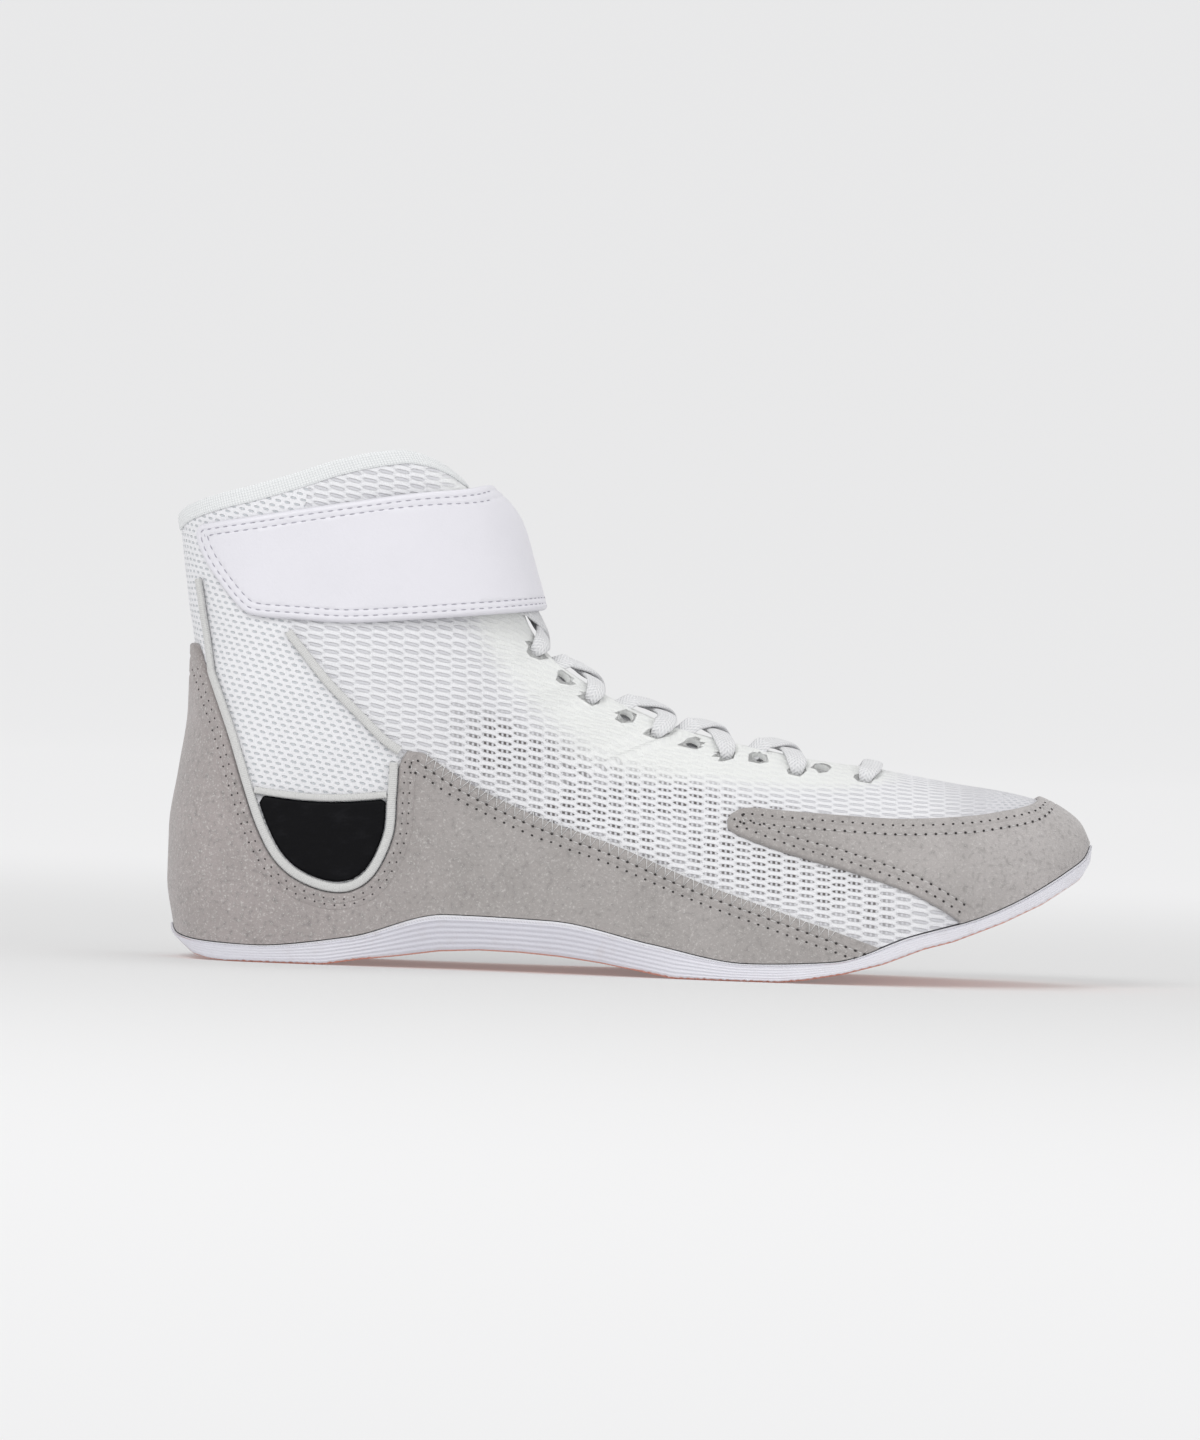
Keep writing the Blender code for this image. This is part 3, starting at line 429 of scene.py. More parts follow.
def smooth_line(points, steps=3):
    """Points on a smooth curve through the given ones."""
    p = np.asarray(points, float)
    gaps = np.maximum(np.linalg.norm(np.diff(p, axis=0), axis=1), 1e-9)
    key = np.concatenate([[0], np.cumsum(gaps ** 0.5)])
    at = np.concatenate([np.linspace(key[i], key[i + 1], steps, endpoint=False)
                         for i in range(len(key) - 1)] + [key[-1:]])
    ext = np.vstack([2 * p[0] - p[1], p, 2 * p[-1] - p[-2]])
    out = []
    for a in at:
        i = int(np.clip(np.searchsorted(key, a, side="right") - 1, 0, len(p) - 2))
        f = (a - key[i]) / (key[i + 1] - key[i])
        p0, p1, p2, p3 = ext[i:i + 4]
        out.append(0.5 * ((2 * p1) + (p2 - p0) * f + (2 * p0 - 5 * p1 + 4 * p2 - p3) * f * f
                          + (3 * p1 - p0 - 3 * p2 + p3) * f ** 3))
    return np.array(out)


def side_line(rows, steps=8):
    """A smooth line in the side view, metres, from shares."""
    p = smooth_line(rows, steps)
    return np.stack([along(p[:, 0]), p[:, 1] * HEIGHT], axis=1)


def offset(line, distance):
    """The line moved to its left."""
    d = unit(np.gradient(line, axis=0))
    return line + np.stack([-d[:, 1], d[:, 0]], axis=1) * distance


def even(line, step):
    """The line with points at even steps."""
    run = distances(line)
    at = np.linspace(0, run[-1], max(int(run[-1] / step), 2) + 1)
    return np.stack([np.interp(at, run, line[:, k]) for k in range(line.shape[1])], axis=1)


def inside(outline):
    """Gives a function for the distance into an outline of the side view, negative outside."""
    a = np.asarray(outline, float)
    b = np.roll(a, -1, axis=0)
    ab = b - a

    def field(x, z):
        p = np.stack([x, z], axis=-1)[:, None, :]
        ap = p - a[None]
        f = np.clip((ap * ab).sum(-1) / np.maximum((ab ** 2).sum(-1), 1e-18), 0, 1)
        gap = np.sqrt(((ap - f[..., None] * ab) ** 2).sum(-1).min(1))
        over = (a[:, 1] > p[..., 1]) != (b[:, 1] > p[..., 1])
        rise = np.where(np.abs(ab[:, 1]) < 1e-12, 1e-12, ab[:, 1])
        left = p[..., 0] < ab[:, 0] * (p[..., 1] - a[:, 1]) / rise + a[:, 0]
        return np.where((over & left).sum(1) % 2 == 1, gap, -gap)

    return field


# Flow of the cloth over the surface

class Flow:
    """Lengths along the cloth, so that a weave keeps its size on every side of the shoe."""

    def __init__(self):
        self.s = np.linspace(0, LAST, 231)
        self.w = np.linspace(0, 1, 81)
        self.maps = [self.unroll(side) for side in (0, 1)]

    def unroll(self, side):
        s, w = np.meshgrid(self.s, self.w, indexing="ij")
        u = w if side == 0 else 2 - w
        p = skin(s, u)
        n = normal(s, u)
        up = n[..., 2] ** 2 / (n[..., 0] ** 2 + n[..., 2] ** 2 + 1e-9)
        up = (up[:, 1:] + up[:, :-1]) / 2
        step = np.diff(p, axis=1)
        du = np.sign(step[..., 0]) * np.hypot(step[..., 0], step[..., 1] * (1 - up))
        dv = np.where(step[..., 2] < -1e-6, -1, 1) * np.hypot(step[..., 2], step[..., 1] * up)
        zero = np.zeros((len(self.s), 1))
        run = np.concatenate([zero, np.cumsum(du, axis=1)], axis=1)
        climb = np.concatenate([zero, np.cumsum(dv, axis=1)], axis=1)
        mid = int(len(self.w) * 0.42)
        run += p[:, mid:mid + 1, 0] - run[:, mid:mid + 1]
        climb += p[:, mid:mid + 1, 2] - climb[:, mid:mid + 1]
        past = (p[..., 0] - 0.010) / 0.022
        lean = 0.08 * p[..., 0] + 0.12 * (p[..., 0] - 0.022 * np.log1p(np.exp(past)))
        return np.stack([run, climb + lean], axis=-1)

    def at(self, s, u):
        s = np.asarray(s, float)
        u = np.asarray(u, float)
        out = np.zeros(s.shape + (2,))
        for side in (0, 1):
            pick = (u <= 1) if side == 0 else (u > 1)
            w = np.clip(np.where(side == 0, u, 2 - u), 0, 1)
            i = np.clip(s / LAST * (len(self.s) - 1), 0, len(self.s) - 1.001)
            j = np.clip(w * (len(self.w) - 1), 0, len(self.w) - 1.001)
            a = i.astype(int)
            b = j.astype(int)
            fa = (i - a)[..., None]
            fb = (j - b)[..., None]
            m = self.maps[side]
            value = ((m[a, b] * (1 - fa) + m[a + 1, b] * fa) * (1 - fb)
                     + (m[a, b + 1] * (1 - fa) + m[a + 1, b + 1] * fa) * fb)
            out = np.where(pick[..., None], value, out)
        return out


FLOW = Flow()

CREST_S = np.linspace(0, LAST, 400)
CREST_P = skin(CREST_S, 1.0)
CREST_RUN = distances(CREST_P)


def slit_field(s, u):
    """Distance outward from the edge of the throat slit."""
    keys = np.linspace(-0.2, 15.75, 90)
    wide = HALF * curve(SLIT, keys)[:, 0]
    run = np.interp(keys, CREST_S, CREST_RUN)
    run[keys < 0] = -0.004
    outline = np.vstack([np.stack([run, wide], axis=1), np.stack([run, -wide], axis=1)[::-1]])
    outline = np.vstack([[(-0.03, wide[0])], outline, [(-0.03, -wide[0])]])
    off = skin(s, u)[:, 1] - HALF * section(s)["crest"]
    field = -inside(outline)(np.interp(s, CREST_S, CREST_RUN), off)
    # The back of the heel lies in line with the slit, and stays whole.
    return np.where(np.minimum(u, 2 - u) < 0.5, np.maximum(field, 0.03), field)


# Pieces of surface

class Sheet:
    """Faces on the surface of the shoe. A corner has its section, its place across and a field."""

    def __init__(self, stations, ways, field):
        s, u = np.meshgrid(stations, ways, indexing="ij")
        cols = len(ways)
        self.s = list(s.ravel())
        self.u = list(u.ravel())
        values = field(s.ravel(), u.ravel())
        self.d = list(values)
        self.faces = []
        grid = values.reshape(s.shape)
        reach = np.maximum.reduce([grid[:-1, :-1], grid[1:, :-1], grid[1:, 1:], grid[:-1, 1:]])
        for i, j in zip(*np.nonzero(reach > 0)):
            k = i * cols + j
            self.faces.append([k, k + cols, k + cols + 1, k + 1])

    def split(self, level):
        """Cuts the faces along the line where the field has that level."""
        made = {}
        out = []
        d = self.d
        for face in self.faces:
            low = min(d[v] for v in face)
            high = max(d[v] for v in face)
            if low >= level - 1e-9 or high <= level + 1e-9:
                out.append(face)
                continue
            above = []
            below = []
            for k, v in enumerate(face):
                w = face[k - 1]
                a = d[w] - level
                b = d[v] - level
                if (a < -1e-9 and b > 1e-9) or (a > 1e-9 and b < -1e-9):
                    key = (min(v, w), max(v, w))
                    if key not in made:
                        f = a / (a - b)
                        made[key] = len(d)
                        self.s.append(self.s[w] + (self.s[v] - self.s[w]) * f)
                        self.u.append(self.u[w] + (self.u[v] - self.u[w]) * f)
                        d.append(level)
                    above.append(made[key])
                    below.append(made[key])
                if b >= -1e-9:
                    above.append(v)
                if b <= 1e-9:
                    below.append(v)
            for part in (above, below):
                if len(part) > 2:
                    out.append(part)
        self.faces = out

    def keep(self, level=0.0):
        self.split(level)
        self.faces = [f for f in self.faces if sum(self.d[v] for v in f) / len(f) > level]


def grid_stations(low=0.0, high=LAST, fine=7):
    count = int(round((high - low) * fine)) + 1
    return np.linspace(low, high, count)


WAYS = np.linspace(0, 2, 105)


def finish_mesh(name, bm, finish, angle=45.0):
    """Turns a build into an object with smooth faces."""
    bmesh.ops.recalc_face_normals(bm, faces=bm.faces)
    mesh = bpy.data.meshes.new(name)
    bm.to_mesh(mesh)
    bm.free()
    mesh.shade_smooth()
    mesh.set_sharp_from_angle(angle=math.radians(angle))
    if finish is not None:
        mesh.materials.append(finish)
    obj = bpy.data.objects.new(name, mesh)
    bpy.context.scene.collection.objects.link(obj)
    return obj


def solid(sheet, high, low, marks=None):
    """A closed piece between two lifts over a sheet."""
    used = sorted(set(v for f in sheet.faces for v in f))
    index = {v: k for k, v in enumerate(used)}
    s = np.array(sheet.s)[used]
    u = np.array(sheet.u)[used]
    d = np.array(sheet.d)[used]
    top = lifted(s, u, high(s, u, d))
    under = lifted(s, u, low(s, u, d))
    flow = FLOW.at(s, u)
    bm = bmesh.new()
    flow_layer = bm.verts.layers.float_vector.new("flow")
    mark_layer = bm.verts.layers.float_vector.new("marks")
    if marks is None:
        extra = np.stack([d, np.zeros_like(d), np.zeros_like(d)], axis=1)
    else:
        extra = marks(s, u, d)
    sides = []
    for points in (top, under):
        made = []
        for k, p in enumerate(points):
            v = bm.verts.new(p)
            v[flow_layer] = (flow[k, 0], flow[k, 1], 0.0)
            v[mark_layer] = extra[k]
            made.append(v)
        sides.append(made)
    edges = {}
    for f in sheet.faces:
        ring = [index[v] for v in f]
        for k, v in enumerate(ring):
            pair = (ring[k - 1], v)
            if (v, ring[k - 1]) in edges:
                del edges[(v, ring[k - 1])]
            else:
                edges[pair] = True
        bm.faces.new([sides[0][v] for v in ring])
        bm.faces.new([sides[1][v] for v in reversed(ring)])
    # Edges that meet across the heel are no rims.
    where = {}
    for a, b in edges:
        key = tuple(sorted((tuple(np.round(top[a] / 4e-6).astype(int)),
                            tuple(np.round(top[b] / 4e-6).astype(int)))))
        where.setdefault(key, []).append((a, b))
    for pairs in where.values():
        if len(pairs) > 1:
            continue
        a, b = pairs[0]
        bm.faces.new([sides[0][b], sides[0][a], sides[1][a], sides[1][b]])
    bmesh.ops.remove_doubles(bm, verts=bm.verts, dist=4e-6)
    bmesh.ops.dissolve_degenerate(bm, edges=bm.edges, dist=2e-6)
    return bm


def sweep(points, normals, width, thick, sides=16, square=0.62):
    """A flat band along points, rounded edges, closed ends. Width and thickness may vary."""
    count = len(points)
    width = np.broadcast_to(width, (count,))
    thick = np.broadcast_to(thick, (count,))
    tangent = unit(np.gradient(points, axis=0))
    run = distances(points)
    bm = bmesh.new()
    flow_layer = bm.verts.layers.float_vector.new("flow")
    bm.verts.layers.float_vector.new("marks")
    rings = []
    for k in range(count):
        p, t, n = points[k], tangent[k], normals[k]
        b = np.cross(n, t)
        b /= np.linalg.norm(b)
        n = np.cross(t, b)
        ring = []
        for j in range(sides):
            a = 2 * math.pi * (j + 0.5) / sides
            c, d = math.cos(a), math.sin(a)
            c = math.copysign(abs(c) ** square, c)
            d = math.copysign(abs(d) ** 0.85, d)
            v = bm.verts.new(p + b * c * width[k] / 2 + n * d * thick[k] / 2)
            v[flow_layer] = (run[k], c * width[k] / 2, d)
            ring.append(v)
        rings.append(ring)
    for a, b in zip(rings[:-1], rings[1:]):
        for j in range(sides):
            bm.faces.new([a[j - 1], a[j], b[j], b[j - 1]])
    for ring in (rings[0], rings[-1]):
        middle = bm.verts.new(sum((v.co for v in ring), Vector()) / sides)
        middle[flow_layer] = ring[0][flow_layer]
        for j in range(sides):
            bm.faces.new([ring[j - 1], ring[j], middle])
    return bm


def joined(parts):
    """One build from several."""
    whole = bmesh.new()
    for bm in parts:
        mesh = bpy.data.meshes.new("part")
        bm.to_mesh(mesh)
        bm.free()
        whole.from_mesh(mesh)
        bpy.data.meshes.remove(mesh)
    return whole


def apply_modifiers(obj):
    """The evaluated mesh becomes the object's own."""
    graph = bpy.context.evaluated_depsgraph_get()
    mesh = bpy.data.meshes.new_from_object(obj.evaluated_get(graph), depsgraph=graph)
    obj.modifiers.clear()
    old = obj.data
    obj.data = mesh
    bpy.data.meshes.remove(old)
    mesh.name = obj.name


def cut(obj, bm, angle):
    """Takes a build away from an object, and smooths its faces again."""
    mesh = bpy.data.meshes.new("cutter")
    bm.to_mesh(mesh)
    bm.free()
    cutter = bpy.data.objects.new("cutter", mesh)
    bpy.context.scene.collection.objects.link(cutter)
    mod = obj.modifiers.new("cut", "BOOLEAN")
    mod.operation = "DIFFERENCE"
    mod.solver = "EXACT"
    mod.object = cutter
    apply_modifiers(obj)
    bpy.data.objects.remove(cutter)
    obj.data.shade_smooth()
    obj.data.set_sharp_from_angle(angle=math.radians(angle))


def put(obj, *nodes, slot=None):
    """Fixes a piece to the shoe, in place of the solids named."""
    if nodes:
        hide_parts(*nodes)
    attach(obj, "root")
    return obj


# Shader maths

class Value:
    """A socket of a material, so that sums can be written plainly."""

    def __init__(self, finish, socket):
        self.finish = finish
        self.socket = socket

    def math(self, what, *others):
        return self.finish.math(what, self, *others)

    def __add__(self, other):
        return self.math("ADD", other)

    __radd__ = __add__

    def __sub__(self, other):
        return self.math("SUBTRACT", other)

    def __rsub__(self, other):
        return self.finish.math("SUBTRACT", other, self)

    def __mul__(self, other):
        return self.math("MULTIPLY", other)

    __rmul__ = __mul__

    def __truediv__(self, other):
        return self.math("DIVIDE", other)

    def __rtruediv__(self, other):
        return self.finish.math("DIVIDE", other, self)

    def __pow__(self, other):
        return self.math("POWER", other)

    def __abs__(self):
        return self.math("ABSOLUTE")

    def sine(self):
        return self.math("SINE")

    def fract(self):
        return self.math("FRACT")

    def floor(self):
        return self.math("FLOOR")

    def soft(self, low, high):
        """0 at low, 1 at high, soft between them."""
        node = self.finish.node("ShaderNodeMapRange", {"interpolation_type": "SMOOTHSTEP"},
                                {0: self, 1: low, 2: high, 3: 0.0, 4: 1.0})
        return Value(self.finish, node.outputs[0])


class Finish:
    """A material made of nodes round one shader."""

    def __init__(self, name, **fixed):
        self.mat = bpy.data.materials.new(name)
        self.mat.use_nodes = True
        self.tree = self.mat.node_tree
        self.shader = self.tree.nodes["Principled BSDF"]
        for key, value in fixed.items():
            self.shader.inputs[key.replace("_", " ")].default_value = value

    def node(self, kind, settings=None, values=None):
        """A node with its settings, such as an operation, and what its sockets hold."""
        node = self.tree.nodes.new(kind)
        for key, value in (settings or {}).items():
            setattr(node, key, value)
        for key, value in (values or {}).items():
            self.feed(node.inputs[key], value)
        return node

    def feed(self, socket, value):
        if isinstance(value, Value):
            self.tree.links.new(value.socket, socket)
        elif isinstance(value, tuple) and len(value) == 3 and socket.type == "RGBA":
            socket.default_value = (*value, 1.0)
        else:
            socket.default_value = value

    def math(self, what, *values):
        node = self.node("ShaderNodeMath", {"operation": what}, dict(enumerate(values)))
        return Value(self, node.outputs[0])

    def mix(self, factor, first, second):
        node = self.node("ShaderNodeMix", {"data_type": "RGBA"}, {0: factor, 6: first, 7: second})
        return Value(self, node.outputs[2])

    def parts(self, vector):
        node = self.node("ShaderNodeSeparateXYZ", None, {0: vector})
        return [Value(self, out) for out in node.outputs]

    def place(self):
        """Object coordinates."""
        return Value(self, self.node("ShaderNodeTexCoord").outputs["Object"])

    def facing(self):
        """Which way the surface faces, in the object's own directions."""
        return self.parts(Value(self, self.node("ShaderNodeTexCoord").outputs["Normal"]))

    def layer(self, name):
        node = self.node("ShaderNodeAttribute", {"attribute_name": name})
        return Value(self, node.outputs["Vector"])

    def noise(self, vector, size, detail=2.0, rough=0.5, stretch=(1.0, 1.0, 1.0)):
        """Grain whose spots are about size across, 0 to 1."""
        scale = [k / size for k in stretch]
        at = self.node("ShaderNodeVectorMath", {"operation": "MULTIPLY"}, {0: vector, 1: scale})
        node = self.node("ShaderNodeTexNoise", None,
                         {"Vector": Value(self, at.outputs[0]), "Scale": 1.0, "Detail": detail,
                          "Roughness": rough})
        return Value(self, node.outputs["Fac"])

    def cells(self, vector, size, what="F1"):
        """Distance from the middle of scattered cells about size across."""
        scale = [1.0 / size] * 3
        at = self.node("ShaderNodeVectorMath", {"operation": "MULTIPLY"}, {0: vector, 1: scale})
        node = self.node("ShaderNodeTexVoronoi", {"feature": what},
                         {"Vector": Value(self, at.outputs[0]), "Scale": 1.0})
        return Value(self, node.outputs["Distance"])

    def done(self, tone=None, rough=None, height=None, coat=None):
        """Links colour, roughness and a height in metres to the shader."""
        if tone is not None:
            self.feed(self.shader.inputs["Base Color"], tone)
        if rough is not None:
            self.feed(self.shader.inputs["Roughness"], rough)
        if coat is not None:
            self.feed(self.shader.inputs["Coat Weight"], coat)
        if height is not None:
            bump = self.node("ShaderNodeBump", None,
                             {"Strength": 1.0, "Distance": 1.0, "Height": height})
            self.tree.links.new(bump.outputs[0], self.shader.inputs["Normal"])
        return self.mat


def rgb(value):
    return tuple(value)


def weave(u, v, across_size, up_size):
    """Height of a plain weave, 0 to 1, for threads of these sizes."""
    a = (u * (math.pi / across_size)).sine()
    b = (v * (math.pi / up_size)).sine()
    return abs(a * b)


def mesh_finish():
    """Coarse air mesh with long holes, fine mesh in the wedge, plain cloth by the throat."""
    c = colours()
    f = Finish("white_mesh", Roughness=0.85, Sheen_Weight=0.25)
    place_at = f.place()
    x, _, z = f.parts(place_at)
    u, v, _ = f.parts(f.layer("flow"))
    wedge, throat, _ = f.parts(f.layer("marks"))
    u1 = u + (f.noise(place_at, 9 * MM, 2.0) - 0.5) * (0.9 * MM)
    v1 = v + (f.noise(place_at, 16 * MM, 1.0) - 0.5) * (1.2 * MM)
    row = v1 / COARSE_ROW
    shift = (row.floor() * 0.5).fract()
    cu = abs((u1 / COARSE_PITCH + shift).fract() - 0.5) * 2.0
    cv = abs(row.fract() - 0.5) * 2.0
    hole = (cu / 0.47) ** 2.6 + (cv / 0.80) ** 2.0
    open_part = 1.0 - hole.soft(0.62, 1.15)
    shade = 1.0 - ((cu / 0.62) ** 2.0 + (cv / 1.5) ** 2.0).soft(0.5, 1.3)
    dots = 1.0 - abs((u1 / COARSE_DOT).fract() - 0.5).soft(0.20, 0.36)
    fine_row = v1 / FINE_ROW
    fu = abs((u1 / FINE_PITCH + (fine_row.floor() * 0.37).fract()).fract() - 0.5) * 2.0
    fv = abs(fine_row.fract() - 0.5) * 2.0
    pair = 1.0 - (abs((u1 / (FINE_PITCH / 2)).fract() - 0.5) * 2.0).soft(0.75, 0.98) * 0.6
    fine_hole = (1.0 - ((fu / 0.60) ** 3.0 + (fv / 0.42) ** 2.0).soft(0.6, 1.2)) * pair
    in_wedge = wedge.soft(-0.2 * MM, 0.3 * MM)
    stay = 1.0 - throat.soft(*STAY)
    stay = stay * x.soft(-0.075, -0.045) * (1.0 - x.soft(0.074, 0.090))
    toe = x.soft(0.102, 0.118)
    coarse = (1.0 - in_wedge) * (1.0 - toe)
    open_coarse = open_part * coarse * (1.0 - stay * 0.86)
    open_fine = fine_hole * in_wedge
    toe_grain = fine_hole * toe
    grain = f.noise(place_at, 0.5 * MM, 3.0, 0.6)
    ahead = z + x * 0.276 - 0.0635
    dark = ahead.soft(-0.034, -0.020) * (1.0 - ahead.soft(-0.001, 0.007))
    dark = dark * x.soft(-0.062, -0.045) * (1.0 - x.soft(0.072, 0.090))
    patchy = f.noise(place_at, 13 * MM, 2.0).soft(0.33, 0.58)
    dark = dark * (0.40 + patchy * 0.60)
    pale_hole = f.mix(f.noise(place_at, 30 * MM, 1.0), (0.72, 0.72, 0.755), (0.60, 0.60, 0.63))
    deep = f.mix(dark * dots, pale_hole, rgb(c.mesh_deep))
    tone = f.mix(grain.soft(0.4, 0.8) * 0.7, rgb(c.mesh), (0.80, 0.805, 0.82))
    tone = f.mix(stay * 0.75, tone, (0.85, 0.865, 0.835))
    tone = f.mix(shade * coarse * (1.0 - stay * 0.8) * 0.14, tone, (0.62, 0.62, 0.66))
    tone = f.mix(x.soft(0.088, 0.110) * 0.75, tone, (0.68, 0.675, 0.71))
    tone = f.mix(open_fine * 0.70 + toe_grain * 0.60, tone, (0.50, 0.54, 0.57))
    tone = f.mix(open_coarse * 0.9, tone, deep)
    threads = weave(u1, v1, 0.55 * MM, 0.45 * MM)
    height = (threads * (0.07 * MM) - open_coarse * (0.28 * MM) - shade * coarse * (0.14 * MM)
              - open_fine * (0.25 * MM) - toe_grain * (0.2 * MM) + grain * (0.08 * MM))
    return f.done(tone, None, height)


def suede_finish(name="grey_suede"):
    """Short nap with fine specks, darker along cut edges, with a painted highlight towards the toe.
    """
    c = colours()
    f = Finish(name, Roughness=0.96, Sheen_Weight=0.35, Sheen_Roughness=0.5)
    f.shader.inputs["Specular IOR Level"].default_value = 0.25
    at = f.place()
    x, _, z = f.parts(at)
    edge, _, _ = f.parts(f.layer("marks"))
    fine = f.noise(at, 0.75 * MM, 3.0, 0.75)
    speck = f.noise(at, 1.5 * MM, 3.0, 0.7)
    cloud = f.noise(at, 16 * MM, 3.0, 0.55)
    heel = 1.0 - x.soft(-0.115, -0.04)
    tone = f.mix(heel * 0.9, rgb(c.suede), (0.418, 0.374, 0.368))
    # Painted highlight: the suede is painted lighter towards the toe.
    tone = f.mix(x.soft(0.05, 0.13), tone, (0.500, 0.472, 0.464))
    tone = f.mix(z.soft(0.075, 0.100) * heel * 0.6, tone, (0.25, 0.215, 0.205))
    tone = f.mix(cloud.soft(0.35, 0.7) * 0.22, tone, (0.26, 0.245, 0.235))
    tone = f.mix(speck.soft(0.50, 0.66) * (0.46 + heel * 0.14), tone, (0.19, 0.18, 0.175))
    tone = f.mix(fine.soft(0.52, 0.68) * (0.58 + heel * 0.20), tone, (0.68, 0.66, 0.64))
    rim = 1.0 - edge.soft(0.0, 0.9 * MM)
    tone = f.mix(rim * 0.30, tone, (0.27, 0.25, 0.245))
    height = fine * (0.22 * MM) + speck * (0.26 * MM) + cloud * (0.30 * MM)
    return f.done(tone, None, height)


def gusset_finish():
    """Smooth black synthetic with a fine pebble and soft creases, whose ridges carry a painted
    highlight.
    """
    c = colours()
    f = Finish("black_synthetic", Roughness=0.5)
    f.shader.inputs["Specular IOR Level"].default_value = 0.10
    at = f.place()
    pebble = f.cells(at, 0.9 * MM)
    crease_and_highlight = f.noise(at, 7 * MM, 4.0, 0.6, (1.0, 1.0, 2.2))
    # Painted highlight: the raised ridges of the creases are painted a little lighter than the
    # black.
    tone = f.mix(crease_and_highlight.soft(0.5, 0.8), rgb(c.gusset), (0.010, 0.010, 0.012))
    rough = 0.42 + crease_and_highlight * 0.25
    height = pebble * (-0.05 * MM) + crease_and_highlight * (0.30 * MM)
    return f.done(tone, rough, height)


def piping_finish():
    """Woven tape with a fine rib across, and a painted highlight along its outward crown."""
    c = colours()
    f = Finish("white_piping", Roughness=0.8, Sheen_Weight=0.2)
    at = f.place()
    u, _, w = f.parts(f.layer("flow"))
    rib = (u * (2 * math.pi / (0.62 * MM))).sine()
    grain = f.noise(at, 0.6 * MM, 2.0)
    tone = f.mix(grain.soft(0.4, 0.7) * 0.5, rgb(c.piping), (0.46, 0.46, 0.455))
    # Painted highlight: the outward crown of the tape (w near 1) is painted lighter than its sides.
    tone = f.mix(w.soft(0.2, 0.9) * 0.5, tone, (0.74, 0.74, 0.73))
    height = rib * (0.05 * MM) + grain * (0.08 * MM)
    return f.done(tone, None, height)


def strap_finish():
    """Smooth synthetic with a faint grain and a softly pressed border."""
    c = colours()
    f = Finish("white_strap", Roughness=0.42, Coat_Weight=0.08, Coat_Roughness=0.35)
    at = f.place()
    edge, _, _ = f.parts(f.layer("marks"))
    grain = f.cells(at, 0.8 * MM)
    cloud = f.noise(at, 18 * MM, 3.0)
    fine = f.noise(at, 0.4 * MM, 2.0)
    tone = f.mix(cloud.soft(0.4, 0.8) * 0.25, rgb(c.strap), (0.72, 0.72, 0.76))
    tone = f.mix((1.0 - edge.soft(0.0, 0.5 * MM)) * 0.4, tone, (0.66, 0.65, 0.69))
    rough = 0.38 + fine * 0.16
    height = grain * (-0.03 * MM) + cloud * (0.30 * MM) + fine * (0.02 * MM)
    return f.done(tone, rough, height)


def knit_finish():
    """Rib knit of the collar, with painted shade in the hollows between the ribs and loops."""
    c = colours()
    f = Finish("knit_binding", Roughness=0.9, Sheen_Weight=0.3)
    at = f.place()
    u, v, _ = f.parts(f.layer("flow"))
    rib = abs((u * (math.pi / (0.9 * MM))).sine())
    loops = abs((v * (math.pi / (0.8 * MM)) + rib * 0.8).sine())
    grain = f.noise(at, 0.5 * MM, 2.0)
    # Painted shade: the knit is painted a darker grey where its ribs and loops sink.
    tone = f.mix(rib * loops, (0.76, 0.78, 0.785), rgb(c.knit))
    height = rib * (0.12 * MM) + loops * (0.06 * MM) + grain * (0.06 * MM)
    return f.done(tone, None, height)


def cloth_finish(name, tone_at, size=0.8 * MM):
    """Plain woven cloth on object coordinates, with painted shade in the gaps between the threads.
    """
    f = Finish(name, Roughness=0.9, Sheen_Weight=0.2)
    at = f.place()
    x, y, z = f.parts(at)
    grain = f.noise(at, 0.6 * MM, 3.0, 0.6)
    threads = weave(x + z, y + z * 0.3, size, size)
    # darker is a dimmed copy of the cloth colour. It serves as painted shade in the gaps between
    # the threads, and as the tone of the darker grain.
    darker = tuple(k * 0.72 for k in tone_at)
    tone = f.mix(threads * 0.8, darker, tone_at)
    tone = f.mix(grain.soft(0.45, 0.8) * 0.3, tone, darker)
    height = threads * (0.12 * MM) + grain * (0.08 * MM)
    return f.done(tone, None, height)


def lace_finish():
    """Flat braid: slanting threads that meet along the middle, with painted shade in the grooves
    between them.
    """
    c = colours()
    f = Finish("white_lace", Roughness=0.85, Sheen_Weight=0.3)
    at = f.place()
    u, v, _ = f.parts(f.layer("flow"))
    slant = (u + abs(v) * 0.8) * (2 * math.pi / (1.15 * MM))
    braid = slant.sine() * 0.5 + 0.5
    cord = abs((v * (math.pi / (0.9 * MM))).sine())
    grain = f.noise(at, 0.4 * MM, 2.0)
    # Painted shade: the braid is painted a darker grey in the grooves between its slanting threads
    # and cords.
    tone = f.mix(braid * 0.6 + cord * 0.4, (0.64, 0.645, 0.66), rgb(c.lace))
    height = braid * (0.14 * MM) + cord * (0.07 * MM) + grain * (0.05 * MM)
    return f.done(tone, None, height)


